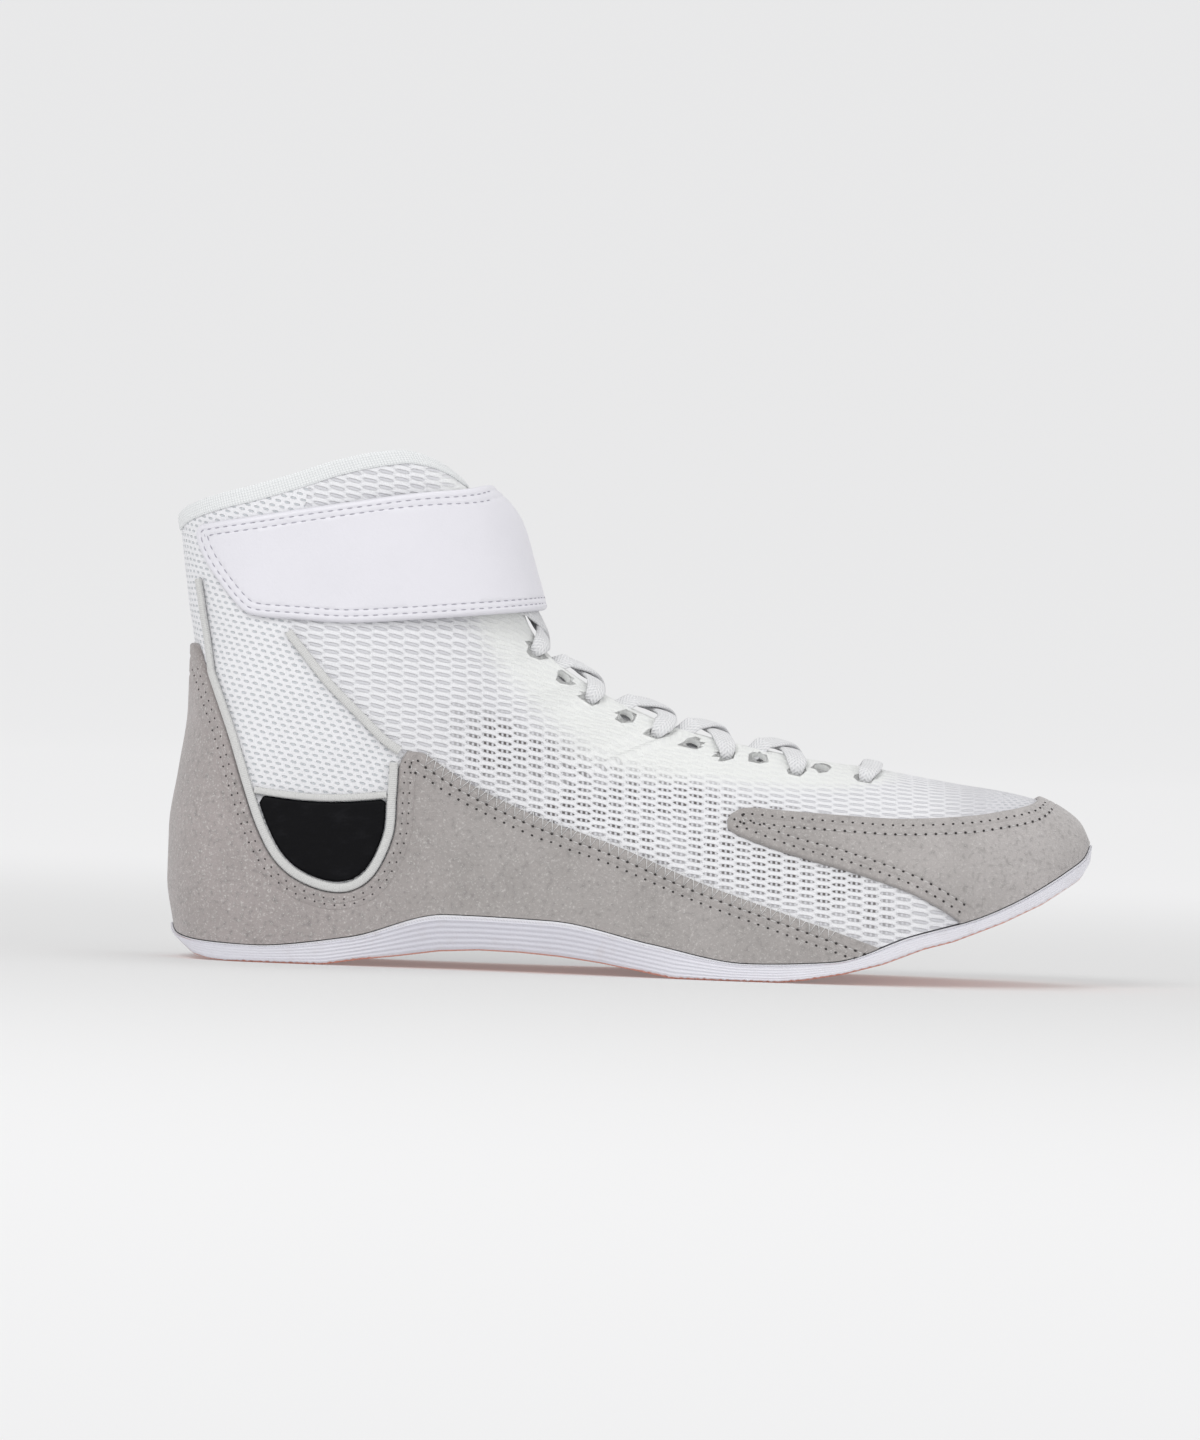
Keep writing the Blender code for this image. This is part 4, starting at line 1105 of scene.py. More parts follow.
def rubber_finish():
    """Matt rubber: fine upright lines on the top band, stippled ribs, coloured tread below."""
    c = colours()
    f = Finish("white_rubber", Roughness=0.55, Coat_Weight=0.05, Coat_Roughness=0.4)
    at = f.place()
    x, y, _ = f.parts(at)
    u, _, share = f.parts(f.layer("flow"))
    _, _, nz = f.facing()
    down = 1.0 - nz.soft(-0.92, -0.72)
    band = share.soft(0.86, 0.90)
    lines = (u * (2 * math.pi / (0.9 * MM))).sine()
    stipple = f.cells(at, 0.75 * MM)
    cloud = f.noise(at, 20 * MM, 3.0)
    dirt = f.noise(at, 5 * MM, 4.0, 0.65).soft(0.52, 0.78)
    arch = x.soft(-0.095, -0.06) * (1.0 - x.soft(0.0, 0.04))
    heel_side = 1.0 - x.soft(-0.03, 0.03)
    tone = f.mix((arch * 0.5 + heel_side * 0.5) * (1.0 - band), rgb(c.rubber), (0.62, 0.615, 0.675))
    tone = f.mix(band * 0.6, tone, (0.82, 0.82, 0.86))
    tone = f.mix(cloud.soft(0.4, 0.8) * 0.2, tone, (0.74, 0.73, 0.79))
    low = 1.0 - share.soft(0.0, 0.10)
    # Scattered patches of dirt, and the side darker towards its bottom edge.
    tone = f.mix(dirt * 0.18 + low * 0.10, tone, (0.52, 0.46, 0.44))
    edge_glow = low * (f.noise(at, 40 * MM, 1.0).soft(0.42, 0.6)) * 0.75
    tone = f.mix(edge_glow, tone, (0.84, 0.52, 0.44))
    tone = f.mix(down, tone, rgb(c.tread))
    zig = abs((y / (14 * MM)).fract() - 0.5) * (8 * MM)
    fine_tread = abs(((x + zig) * (math.pi / (2.6 * MM))).sine())
    height = (lines * band * (0.06 * MM) + stipple * (1.0 - band) * (-0.06 * MM)
              + fine_tread.soft(0.25, 0.75) * down * (0.35 * MM) + dirt * (0.03 * MM))
    rough = 0.50 + dirt * 0.2
    return f.done(tone, rough, height)


def thread_finish(name, tone_at):
    """Twisted sewing thread."""
    f = Finish(name, Roughness=0.7)
    at = f.place()
    grain = f.noise(at, 0.35 * MM, 2.0)
    tone = f.mix(grain.soft(0.4, 0.7), tone_at, tuple(k * 0.75 for k in tone_at))
    return f.done(tone, None, grain * (0.05 * MM))


FINISHES = {}


def finish_of(key, make, *args):
    if key not in FINISHES:
        FINISHES[key] = make(*args)
    return FINISHES[key]


# Outlines

V_SIDE = side_line(V_LINE)
TOP_SIDE = side_line(SUEDE_TOP)
TOE_SIDE = side_line(TOE_EDGE)
WEDGE_SIDE = side_line(WEDGE_LINE)
STRAP_SIDE = side_line(STRAP_EDGE)
FAR = 0.25

SUEDE_OUTLINE = np.vstack([[(-FAR, V_SIDE[0, 1] + 2 * MM)], V_SIDE, TOP_SIDE,
                           [(TOP_SIDE[-1, 0] + 0.004, -0.02), (-FAR, -0.02)]])
TOE_OUTLINE = np.vstack([[(TOE_SIDE[0, 0] + 0.004, 0.10)], TOE_SIDE,
                         [(TOE_SIDE[-1, 0] + 0.004, -0.02), (FAR, -0.02), (FAR, 0.10)]])
STRAP_OUTLINE = np.vstack([[(along(0.5), STRAP_SIDE[0, 1])], STRAP_SIDE,
                           [(along(0.5), STRAP_SIDE[-1, 1])]])
WEDGE_OUTLINE = np.vstack([WEDGE_SIDE, V_SIDE[::-1], [(-FAR, V_SIDE[0, 1]), (-FAR, 0.30),
                                                     (WEDGE_SIDE[0, 0] + 0.03, 0.30),
                                                     (WEDGE_SIDE[0, 0], 0.118)]])


def gusset_level(level, points=13):
    """The level line between the two legs of the V, dipped a little."""
    wide = offset(V_SIDE, GAP + PIPING_WIDTH + GAP)
    low = int(np.argmin(wide[:, 1]))
    left = np.interp(level, wide[:low + 1, 1][::-1], wide[:low + 1, 0][::-1])
    right = np.interp(level, wide[low:, 1], wide[low:, 0])
    f = np.linspace(0, 1, points)
    dip = GUSSET_SINK * HEIGHT * np.sin(math.pi * f)
    return np.stack([left + (right - left) * f, level - dip], axis=1)


def gusset_outline():
    edge = offset(V_SIDE, GAP + PIPING_WIDTH + GAP)
    edge = edge[edge[:, 1] < GUSSET_TOP * HEIGHT]
    return np.vstack([edge, gusset_level(GUSSET_TOP * HEIGHT)[::-1]])


def side_field(outline, side=0):
    """Field of a side-view outline on one or both sides of the shoe."""
    find = inside(outline)

    def field(s, u):
        p = skin(s, u)
        d = find(p[:, 0], p[:, 2])
        if side < 0:
            d = np.where(u > 1, -0.05, d)
        if side > 0:
            d = np.where(u < 1, -0.05, d)
        return d

    return field


def profile(rows, thick):
    """Lift over a panel from its distance to the cut edge: mm from the edge, share of thickness."""
    at = [row[0] * MM for row in rows]
    share = [row[1] for row in rows]

    def high(s, u, d):
        return GAP + thick * np.interp(d, at, share)

    return high


def panel(name, outline, thick, rows, finish, side=0, stations=None, ways=None, low=0.2 * MM):
    """A flat panel on the surface, with a rounded cut edge and lines pressed into it."""
    field = side_field(outline, side)
    sheet = Sheet(grid_stations() if stations is None else stations,
                  WAYS if ways is None else ways, field)
    sheet.keep(0.0)
    for row in rows[1:]:
        sheet.split(row[0] * MM)
    bm = solid(sheet, profile(rows, thick), lambda s, u, d: np.full_like(s, low))
    return finish_mesh(name, bm, finish)


def line_points(line, side, lift, step=1.2 * MM):
    """Points and outward directions of a side-view line laid on one side of the shoe."""
    line = even(line, step)
    s, u = places(line)
    if side > 0:
        u = 2 - u
    return lifted(s, u, lift), normal(s, u)


# Pieces

def eyelets():
    points = np.array([(along(x), z * HEIGHT) for x, z in LACED])
    s, u = places(points)
    return list(zip(s, u))


def spare_eyelets():
    return [place(x, off * HALF) for x, off in BARE]


def build_upper():
    size = sizes()
    lip = (0.0, 0.35 * MM, 0.9 * MM, 2.2 * MM)
    sheet = Sheet(grid_stations(), WAYS, slit_field)
    sheet.keep(0.0)
    for level in lip[1:]:
        sheet.split(level)
    wedge = side_field(WEDGE_OUTLINE)

    def high(s, u, d):
        return np.interp(d, lip, (-0.9 * MM, -0.25 * MM, 0, 0))

    def low(s, u, d):
        return np.interp(d, lip, (0.6 * MM, 0.15 * MM, 0, 0)) - size.wall

    def marks(s, u, d):
        return np.stack([wedge(s, u), d, np.zeros_like(d)], axis=1)

    bm = solid(sheet, high, low, marks)
    upper = finish_mesh("shoe_upper", bm, finish_of("mesh", mesh_finish))
    holes = bmesh.new()
    for s, u in eyelets() + spare_eyelets():
        for way in (u, 2 - u):
            n = Vector(normal(s, way))
            p = Vector(lifted(s, way, 0.0)) - n * size.wall / 2
            turn = n.to_track_quat("Z", "Y").to_matrix().to_4x4()
            bmesh.ops.create_cone(holes, cap_ends=True, segments=22, radius1=size.eyelet,
                                  radius2=size.eyelet, depth=size.wall * 2.4,
                                  matrix=Matrix.Translation(p) @ turn)
    cut(upper, holes, 50)
    put(upper, "upper", slot="white_mesh")


SUEDE_ROWS = ((0.0, 0.18), (0.15, 0.62), (0.45, 0.92), (0.9, 1.0), (2.9, 1.0), (3.3, 0.80),
              (3.7, 1.0), (4.9, 1.0), (5.3, 0.80), (5.7, 1.0))


def build_suede():
    size = sizes()
    finish = finish_of("suede", suede_finish)
    panel_obj = panel("suede_side_panel", SUEDE_OUTLINE, size.suede, SUEDE_ROWS, finish,
                      stations=grid_stations(1.5, 19.5))
    put(panel_obj, "heel_side_panel", slot="grey_suede")
    toe = panel("suede_toe_cap", TOE_OUTLINE, size.suede, SUEDE_ROWS, finish,
                stations=grid_stations(11.0, LAST, 9))
    put(toe, "toe_cap", slot="grey_suede")


def build_gussets():
    black = finish_of("gusset", gusset_finish)
    tape = finish_of("piping", piping_finish)
    near = grid_stations(2.0, 12.0, 9)
    half = np.linspace(0, 1, 70)
    rows = ((0.0, 0.2), (0.3, 0.75), (0.8, 1.0))
    centre = offset(V_SIDE, GAP + PIPING_WIDTH / 2)
    tab = side_line(((0.030, 0.738), (0.034, 0.700), (0.038, 0.660), (0.0425, 0.620)), 3)
    band = gusset_level(GUSSET_TOP * HEIGHT + GAP + PIPING_WIDTH * 0.4, 24)
    for word, side in (("lateral", -1), ("medial", 1)):
        ways = half if side < 0 else 1 + half
        insert = panel("insert_" + word, gusset_outline(), 0.8 * MM, rows, black, side, near, ways)
        put(insert, "gusset_" + word, slot="black_synthetic")
        lines = (
            ("tape_v_" + word, "v_piping_" + word, np.vstack([tab, centre[3:]]), 1.0, 1.25),
            ("tape_level_" + word, "gusset_piping_" + word, band, 0.8, 1.05),
            ("tape_wedge_" + word, "wedge_piping_" + word, WEDGE_SIDE, 1.0, 1.15),
        )
        for name, node, line, wide, lift in lines:
            points, normals = line_points(line, side, lift * MM)
            bm = sweep(points, normals, PIPING_WIDTH * wide, 1.7 * MM, 14)
            put(finish_mesh(name, bm, tape, 60), node, slot="white_piping")


def strap_hop(u):
    return STRAP_HOP * np.clip((np.minimum(u, 2 - u) - 0.45) / 0.25, 0, 1) ** 1.5


STRAP_ROWS = ((0.0, 0.40), (0.3, 0.72), (0.7, 0.90), (1.2, 0.97), (1.6, 0.97), (2.0, 0.86),
              (2.4, 0.96), (3.5, 0.96), (3.9, 0.86), (4.3, 0.98))


def build_strap():
    size = sizes()
    find = side_field(STRAP_OUTLINE)

    def field(s, u):
        return np.minimum(find(s, u), (STRAP_END - u) * 0.055)

    sheet = Sheet(grid_stations(0.0, 5.5, 12), np.linspace(0, STRAP_END + 0.02, 150), field)
    sheet.keep(0.0)
    for row in STRAP_ROWS[1:]:
        sheet.split(row[0] * MM)
    rise = profile(STRAP_ROWS, size.strap)

    def high(s, u, d):
        return rise(s, u, d) + strap_hop(u)

    def low(s, u, d):
        return 0.25 * MM + strap_hop(u) + 0.15 * MM * (d < 0.3 * MM)

    bm = solid(sheet, high, low)
    strap = finish_mesh("strap_over_ankle", bm, finish_of("strap", strap_finish), 60)
    put(strap, "ankle_strap", slot="white_strap")


def build_binding():
    """A folded band over the collar edge."""
    size = sizes()
    first = across(0.0, -HALF * 0.33)
    half = np.linspace(0.0, first, 70)[::-1]
    ways = np.concatenate([half, (2 - half)[::-1][1:]])
    s = np.zeros_like(ways)
    edge = skin(s, ways)
    n = normal(s, ways)
    down = unit(skin(s + 0.25, ways) - edge)
    g, t, w, wall = 0.1 * MM, size.binding, size.binding_width, size.wall
    outer = [(w, g), (w * 0.98, g + t * 0.6), (w * 0.8, g + t), (w * 0.3, g + t * 1.1),
             (0.0, g + t * 1.0), (-g - t * 0.75, g), (-g - t, -wall / 2)]
    middle = -wall
    inner = [(x, middle - y) for x, y in outer[-2::-1]]
    shape = smooth_line(outer + inner, 3)
    bm = bmesh.new()
    flow_layer = bm.verts.layers.float_vector.new("flow")
    run = distances(edge)
    round_run = distances(shape)
    rings = []
    for k, (p, a, b) in enumerate(zip(edge, down, n)):
        ring = []
        for j, (x, y) in enumerate(shape):
            v = bm.verts.new(p + a * x + b * y)
            v[flow_layer] = (run[k], round_run[j], 0.0)
            ring.append(v)
        rings.append(ring)
    for a, b in zip(rings[:-1], rings[1:]):
        for j in range(len(shape)):
            bm.faces.new([a[j - 1], a[j], b[j], b[j - 1]])
    bm.faces.new(rings[0])
    bm.faces.new(list(reversed(rings[-1])))
    band = finish_mesh("knit_band", bm, finish_of("knit", knit_finish), 60)
    put(band, "collar_binding", slot="knit_binding")


def build_tongue():
    """A padded tongue under the throat."""
    size = sizes()
    keys = np.linspace(TONGUE[0][0], TONGUE[-1][0], 110)
    shares = np.sin(np.linspace(-1, 1, 27) * math.pi / 2)
    s = np.repeat(keys[:, None], len(shares), axis=1)
    half = HALF * curve(TONGUE, keys)[:, 0]
    half = half * np.sqrt(np.maximum(1 - np.maximum(0.6 - (keys - keys[0]), 0) ** 2 / 0.48, 0.05))
    u = across(s, shares[None, :] * half[:, None])
    rim = np.minimum(1 - np.abs(shares)[None, :], 0.25) * 4
    ends = np.minimum((keys - keys[0]) / 0.3, 1) * np.minimum((keys[-1] - keys) / 0.3, 1)
    full = np.sqrt(np.clip(rim * ends[:, None], 0, 1))
    top = lifted(s, u, -TONGUE_DEPTH - size.tongue * 0.5 * (1 - full))
    low = lifted(s, u, -TONGUE_DEPTH - size.tongue * (0.5 + 0.5 * full) - 0.2 * MM)
    bm = bmesh.new()
    rows, cols = s.shape
    faces = []
    for grid in (top, low):
        faces.append([[bm.verts.new(p) for p in row] for row in grid])
    for i in range(rows - 1):
        for j in range(cols - 1):
            for grid, turn in zip(faces, (1, -1)):
                face = [grid[i][j], grid[i + 1][j], grid[i + 1][j + 1], grid[i][j + 1]]
                bm.faces.new(face[::turn])
    a, b = faces
    for i in range(rows - 1):
        bm.faces.new([a[i][0], a[i + 1][0], b[i + 1][0], b[i][0]])
        bm.faces.new([a[i + 1][-1], a[i][-1], b[i][-1], b[i + 1][-1]])
    for j in range(cols - 1):
        bm.faces.new([a[0][j + 1], a[0][j], b[0][j], b[0][j + 1]])
        bm.faces.new([a[-1][j], a[-1][j + 1], b[-1][j + 1], b[-1][j]])
    finish = finish_of("tongue", cloth_finish, "tongue_fabric", rgb(colours().tongue))
    tongue = finish_mesh("tongue_pad", bm, finish, 70)
    put(tongue, "tongue", slot="tongue_fabric")


def lace_run(start, stop, reach, hop, both=False):
    """Points of a lace that comes up through one eyelet and lies over the throat."""
    size = sizes()
    flat = 0.25 * MM + size.lace_thick / 2
    f = np.concatenate([[0, 0, 0.015], np.linspace(0.06, reach - 0.06 if not both else 0.94, 16)])
    lift = flat + hop * np.sin(math.pi * np.clip((f - 0.2) / 0.6, 0, 1)) ** 2
    lift = lift + 0.5 * MM * np.exp(-((f - 0.10) / 0.06) ** 2)
    lift[0] = -3.6 * MM
    lift[1] = -1.2 * MM
    lift[2] = 0.6 * MM
    if both:
        f = np.concatenate([f, [0.985, 1, 1]])
        lift = np.concatenate([lift, lift[2::-1]])
    else:
        f = np.concatenate([f, [reach, reach + 0.05]])
        lift = np.concatenate([lift, [-1.6 * MM, -2.9 * MM]])
    s = start[0] + (stop[0] - start[0]) * f
    u = start[1] + (stop[1] - start[1]) * f
    points = smooth_line(lifted(s, u, lift), 5)
    normals = smooth_line(normal(s, u), 5)
    return points, unit(normals)


def lace_piece(points, normals, both=False):
    size = sizes()
    run = distances(points)
    wide = 0.62 + 0.38 * smooth(run, 2.5 * MM, 7.5 * MM)
    if both:
        wide = np.minimum(wide, 0.62 + 0.38 * smooth(run[-1] - run, 2.5 * MM, 7.5 * MM))
    thick = size.lace_thick * (1.25 - 0.25 * wide)
    return sweep(points, normals, size.lace_width * wide, thick, 18, 0.7)


def build_laces():
    finish = finish_of("lace", lace_finish)
    holes = eyelets()
    toe_s, toe_u = holes[0]
    bar = lace_piece(*lace_run((toe_s, toe_u), (toe_s, 2 - toe_u), 1.0, 0.5 * MM, True), True)
    put(finish_mesh("lace_bar_toe", bar, finish, 70), "lace_toe_bar", slot="white_lace")
    for k in range(1, len(holes) - 1):
        s0, u0 = holes[k]
        s1, u1 = holes[k + 1]
        first = lace_piece(*lace_run((s0, u0), (s1, 2 - u1), 0.80, -1.3 * MM))
        other = lace_piece(*lace_run((s0, 2 - u0), (s1, u1), 0.80, 0.6 * MM))
        name = "lace_cross_" + str(k)
        put(finish_mesh(name, joined([first, other]), finish, 70),
            "lace_crossing_" + str(k), slot="white_lace")


# Sole

def sole_keys():
    fine = np.linspace(ROOT, LAST, 1200)
    p = skin(fine, 0.0)
    run = distances(p)
    return np.interp(np.linspace(0, run[-1], 330), run, fine)


def foot_ring(keys, distance):
    """The line where the upper meets the sole, moved outward: outer side to the toe, and back."""
    outer = lifted(keys, np.zeros(len(keys)), distance)
    inner = lifted(keys, np.full(len(keys), 2.0), distance)
    return np.vstack([outer, inner[-2:0:-1]])


def under(x):
    """Height of the under side of the sole: straight runs, so that the flats stay flat."""
    rows = np.asarray(UNDER)
    return np.interp(x, along(rows[:, 0]), rows[:, 1] * HEIGHT)


def sole_side(share, ribs, x):
    """How far the side of the sole stands out at a share of its height."""
    base = np.interp(share, (0.0, 0.04, 0.12, 0.2, 0.86, 0.89, 0.95, 1.0),
                     (0.15, 0.62, 0.80, 0.88, 1.0, 0.86, 1.0, 0.75))
    wave = 0.5 - 0.5 * math.cos(2 * math.pi * (share - 0.12) / 0.74 * ribs)
    arch = smooth(x, -0.125, -0.07) * (1 - smooth(x, 0.02, 0.08))
    deep = 0.03 + 0.11 * arch
    return base - (deep * wave if 0.12 < share < 0.86 else 0.0)


def rings_body(rings, shares):
    """A closed body from rings that run round the sole; flat strips close the first and last."""
    bm = bmesh.new()
    layer = bm.verts.layers.float_vector.new("flow")
    made = []
    for ring, share in zip(rings, shares):
        run = distances(ring)
        row = []
        for k, p in enumerate(ring):
            v = bm.verts.new(p)
            v[layer] = (run[k], p[2], share)
            row.append(v)
        made.append(row)
    n = len(rings[0])
    count = n // 2 + 1
    for a, b in zip(made[:-1], made[1:]):
        for k in range(n):
            bm.faces.new([a[k - 1], a[k], b[k], b[k - 1]])
    for ring, way in ((made[0], 1), (made[-1], -1)):
        for k in range(count - 1):
            face = []
            for v in (ring[k], ring[k + 1], ring[(n - k - 1) % n], ring[(n - k) % n]):
                if v not in face:
                    face.append(v)
            bm.faces.new(face[::way])
    return bm


def grooves(pitch):
    """Bodies of the shallow chevron grooves across the heel and the ball."""
    bm = bmesh.new()
    starts = [along(0.045) + k * pitch for k in range(4)]
    starts += [along(0.50) + k * pitch for k in range(12)]
    wide, deep = 2.0 * MM, 1.1 * MM
    keys = np.linspace(ROOT, LAST - 0.5, 120)
    outer = skin(keys, 0.0)
    inner = skin(keys, 2.0)
    for x in starts:
        rings = []
        low = float(np.interp(x, outer[:, 0], outer[:, 1])) + 5 * MM
        high = float(np.interp(x, inner[:, 0], inner[:, 1])) - 5 * MM
        for y in np.linspace(low, high, 9):
            px = x + 7 * MM - 14 * MM * abs(y) / 0.07
            z = float(under(px))
            slope = float(under(px + 2 * MM) - under(px - 2 * MM)) / (4 * MM)
            ring = []
            for side, far in ((-1, -6 * MM), (1, -6 * MM), (0.7, deep), (-0.7, deep)):
                out = side * wide / 2
                ring.append(bm.verts.new((px + out, y, z + slope * out + far)))
            rings.append(ring)
        for a, b in zip(rings[:-1], rings[1:]):
            for j in range(4):
                bm.faces.new([a[j - 1], a[j], b[j], b[j - 1]])
        bm.faces.new(rings[0])
        bm.faces.new(list(reversed(rings[-1])))
    bmesh.ops.recalc_face_normals(bm, faces=bm.faces)
    return bm


def build_sole():
    size = sizes()
    keys = sole_keys()
    foot = foot_ring(keys, 0.0)
    shares = np.concatenate([[1.0, 0.98, 0.95, 0.92, 0.89, 0.87], np.linspace(0.86, 0.12, 31),
                             [0.09, 0.06, 0.04, 0.02, 0.0]])
    rings = []
    for share in shares:
        out = [size.sole_edge * sole_side(share, size.ribs, x) for x in foot[:len(keys), 0]]
        outer = lifted(keys, np.zeros(len(keys)), out)
        inner = lifted(keys, np.full(len(keys), 2.0), out)
        ring = np.vstack([outer, inner[-2:0:-1]])
        top = foot[:, 2] - SOLE_GAP
        low = under(ring[:, 0])
        ring[:, 2] = low + (top - low) * share
        heel_teeth = smooth(ring[:, 0], -0.128, -0.118) * (1 - smooth(ring[:, 0], -0.082, -0.074))
        ball_teeth = smooth(ring[:, 0], -0.002, 0.006)
        saw = np.abs(((ring[:, 0] / TEETH_PITCH) % 1.0) - 0.5) * 2
        bite = np.interp(share, (0.0, 0.1, 0.2), (1.0, 0.6, 0.0))
        ring[:, 2] += TEETH_DEPTH * saw * bite * np.maximum(heel_teeth, ball_teeth)
        rings.append(ring)
    rings[-1][:, 2] = under(rings[-1][:, 0])
    bm = rings_body(rings, shares)
    sole = finish_mesh("rubber_sole", bm, finish_of("rubber", rubber_finish), 40)
    cut(sole, grooves(size.groove), 40)
    put(sole, "outsole", slot="white_rubber")

    tip = np.clip((keys - 19) / 3, 0, 1)
    rings = []
    shares = (1.0, 0.8, 0.3, 0.0)
    for share in shares:
        inset = size.wall + (0.7 + 1.0 * tip) * MM + (1.5 + 1.6 * tip) * MM * share ** 2
        ring = foot_ring(keys, -inset)
        ring[:, 2] = foot[:, 2] + size.insole * share
        rings.append(ring)
    bm = rings_body(rings, shares)
    finish = finish_of("insole", cloth_finish, "insole_fabric", rgb(colours().insole), 1.0 * MM)
    put(finish_mesh("insole_sheet", bm, finish, 50), "insole", slot="insole_fabric")


# Stitching

def maker(tree):
    """Gives a function that adds nodes to a geometry tree."""

    def node(kind, settings=None, values=None):
        made = tree.nodes.new(kind)
        for key, value in (settings or {}).items():
            setattr(made, key, value)
        for key, value in (values or {}).items():
            if hasattr(value, "is_output"):
                tree.links.new(value, made.inputs[key])
            else:
                made.inputs[key].default_value = value
        return made

    return node


def stitch_tree():
    """A node tree that sews along the lines of a mesh: a thread bead at every step."""
    tree = bpy.data.node_groups.new("sewing", "GeometryNodeTree")
    face = tree.interface
    face.new_socket("Lines", in_out="INPUT", socket_type="NodeSocketGeometry")
    for name, value in (("Pitch", 3.1 * MM), ("Length", 2.2 * MM), ("Thread", 0.45 * MM),
                        ("Turn", 0.0)):
        socket = face.new_socket(name, in_out="INPUT", socket_type="NodeSocketFloat")
        socket.default_value = value
    face.new_socket("Material", in_out="INPUT", socket_type="NodeSocketMaterial")
    face.new_socket("Beads", in_out="OUTPUT", socket_type="NodeSocketGeometry")

    node = maker(tree)
    start = node("NodeGroupInput").outputs
    line = node("GeometryNodeMeshToCurve", None, {"Mesh": start["Lines"]})
    dots = node("GeometryNodeCurveToPoints", {"mode": "LENGTH"},
                {"Curve": line.outputs[0], "Length": start["Pitch"]})
    ahead = node("FunctionNodeAlignRotationToVector", {"axis": "X"},
                 {"Vector": dots.outputs["Tangent"]})
    up = node("GeometryNodeInputNamedAttribute", {"data_type": "FLOAT_VECTOR"}, {"Name": "up"})
    upright = node("FunctionNodeAlignRotationToVector", {"axis": "Z", "pivot_axis": "X"},
                   {"Rotation": ahead.outputs[0], "Vector": up.outputs[0]})
    turned = node("FunctionNodeAxisAngleToRotation", None, {"Axis": (0.0, 0.0, 1.0),
                                                            "Angle": start["Turn"]})
    whole = node("FunctionNodeRotateRotation", {"rotation_space": "LOCAL"},
                 {"Rotation": upright.outputs[0], "Rotate By": turned.outputs[0]})
    bead = node("GeometryNodeMeshUVSphere", None, {"Segments": 6, "Rings": 4, "Radius": 0.5})
    size = node("ShaderNodeCombineXYZ", None, {"X": start["Length"], "Y": start["Thread"],
                                               "Z": start["Thread"]})
    sewn = node("GeometryNodeInstanceOnPoints", None,
                {"Points": dots.outputs["Points"], "Instance": bead.outputs[0],
                 "Rotation": whole.outputs[0], "Scale": size.outputs[0]})
    real = node("GeometryNodeRealizeInstances", None, {"Geometry": sewn.outputs[0]})
    smooth_node = node("GeometryNodeSetShadeSmooth", None, {"Geometry": real.outputs[0]})
    painted = node("GeometryNodeSetMaterial", None, {"Geometry": smooth_node.outputs[0],
                                                     "Material": start["Material"]})
    out = node("NodeGroupOutput")
    tree.links.new(painted.outputs[0], out.inputs[0])
    return tree


def thread_tree():
    """A node tree that lays one thin thread along the lines of a mesh."""
    tree = bpy.data.node_groups.new("thread", "GeometryNodeTree")
    face = tree.interface
    face.new_socket("Lines", in_out="INPUT", socket_type="NodeSocketGeometry")
    face.new_socket("Thread", in_out="INPUT", socket_type="NodeSocketFloat")
    face.new_socket("Material", in_out="INPUT", socket_type="NodeSocketMaterial")
    face.new_socket("Threads", in_out="OUTPUT", socket_type="NodeSocketGeometry")
    node = maker(tree)
    start = node("NodeGroupInput").outputs
    line = node("GeometryNodeMeshToCurve", None, {"Mesh": start["Lines"]})
    half = node("ShaderNodeMath", {"operation": "MULTIPLY"}, {0: start["Thread"], 1: 0.5})
    ring = node("GeometryNodeCurvePrimitiveCircle", None, {"Resolution": 5,
                                                           "Radius": half.outputs[0]})
    tube = node("GeometryNodeCurveToMesh", None, {"Curve": line.outputs[0],
                                                  "Profile Curve": ring.outputs[0],
                                                  "Fill Caps": True})
    real = node("GeometryNodeRealizeInstances", None, {"Geometry": tube.outputs[0]})
    painted = node("GeometryNodeSetMaterial", None, {"Geometry": real.outputs[0],
                                                     "Material": start["Material"]})
    out = node("NodeGroupOutput")
    tree.links.new(painted.outputs[0], out.inputs[0])
    return tree


def zigzag(line, side, top):
    """A thread that runs to and fro over the cut edge of the suede."""
    steps = even(line, 1.55 * MM)
    d = unit(np.gradient(steps, axis=0))
    across_line = np.stack([-d[:, 1], d[:, 0]], axis=1)
    points = []
    lifts = []
    for k in range(len(steps) - 1):
        out = k % 2 == 0
        reach = (1.1 if out else -2.9) * MM
        points.append(steps[k] + across_line[k] * reach)
        lifts.append(0.35 * MM if out else top + 0.05 * MM)
        a = steps[k] + across_line[k] * reach
        b = steps[k + 1] - across_line[k + 1] * (1.8 * MM) - across_line[k + 1] * reach
        f = (reach - 0.2 * MM) / (2 * reach + 1.8 * MM)
        points.append(a + (b - a) * f)
        lifts.append(top + 0.12 * MM)
    s, u = places(np.array(points))
    if side > 0:
        u = 2 - u
    return lifted(s, u, np.array(lifts)), normal(s, u)


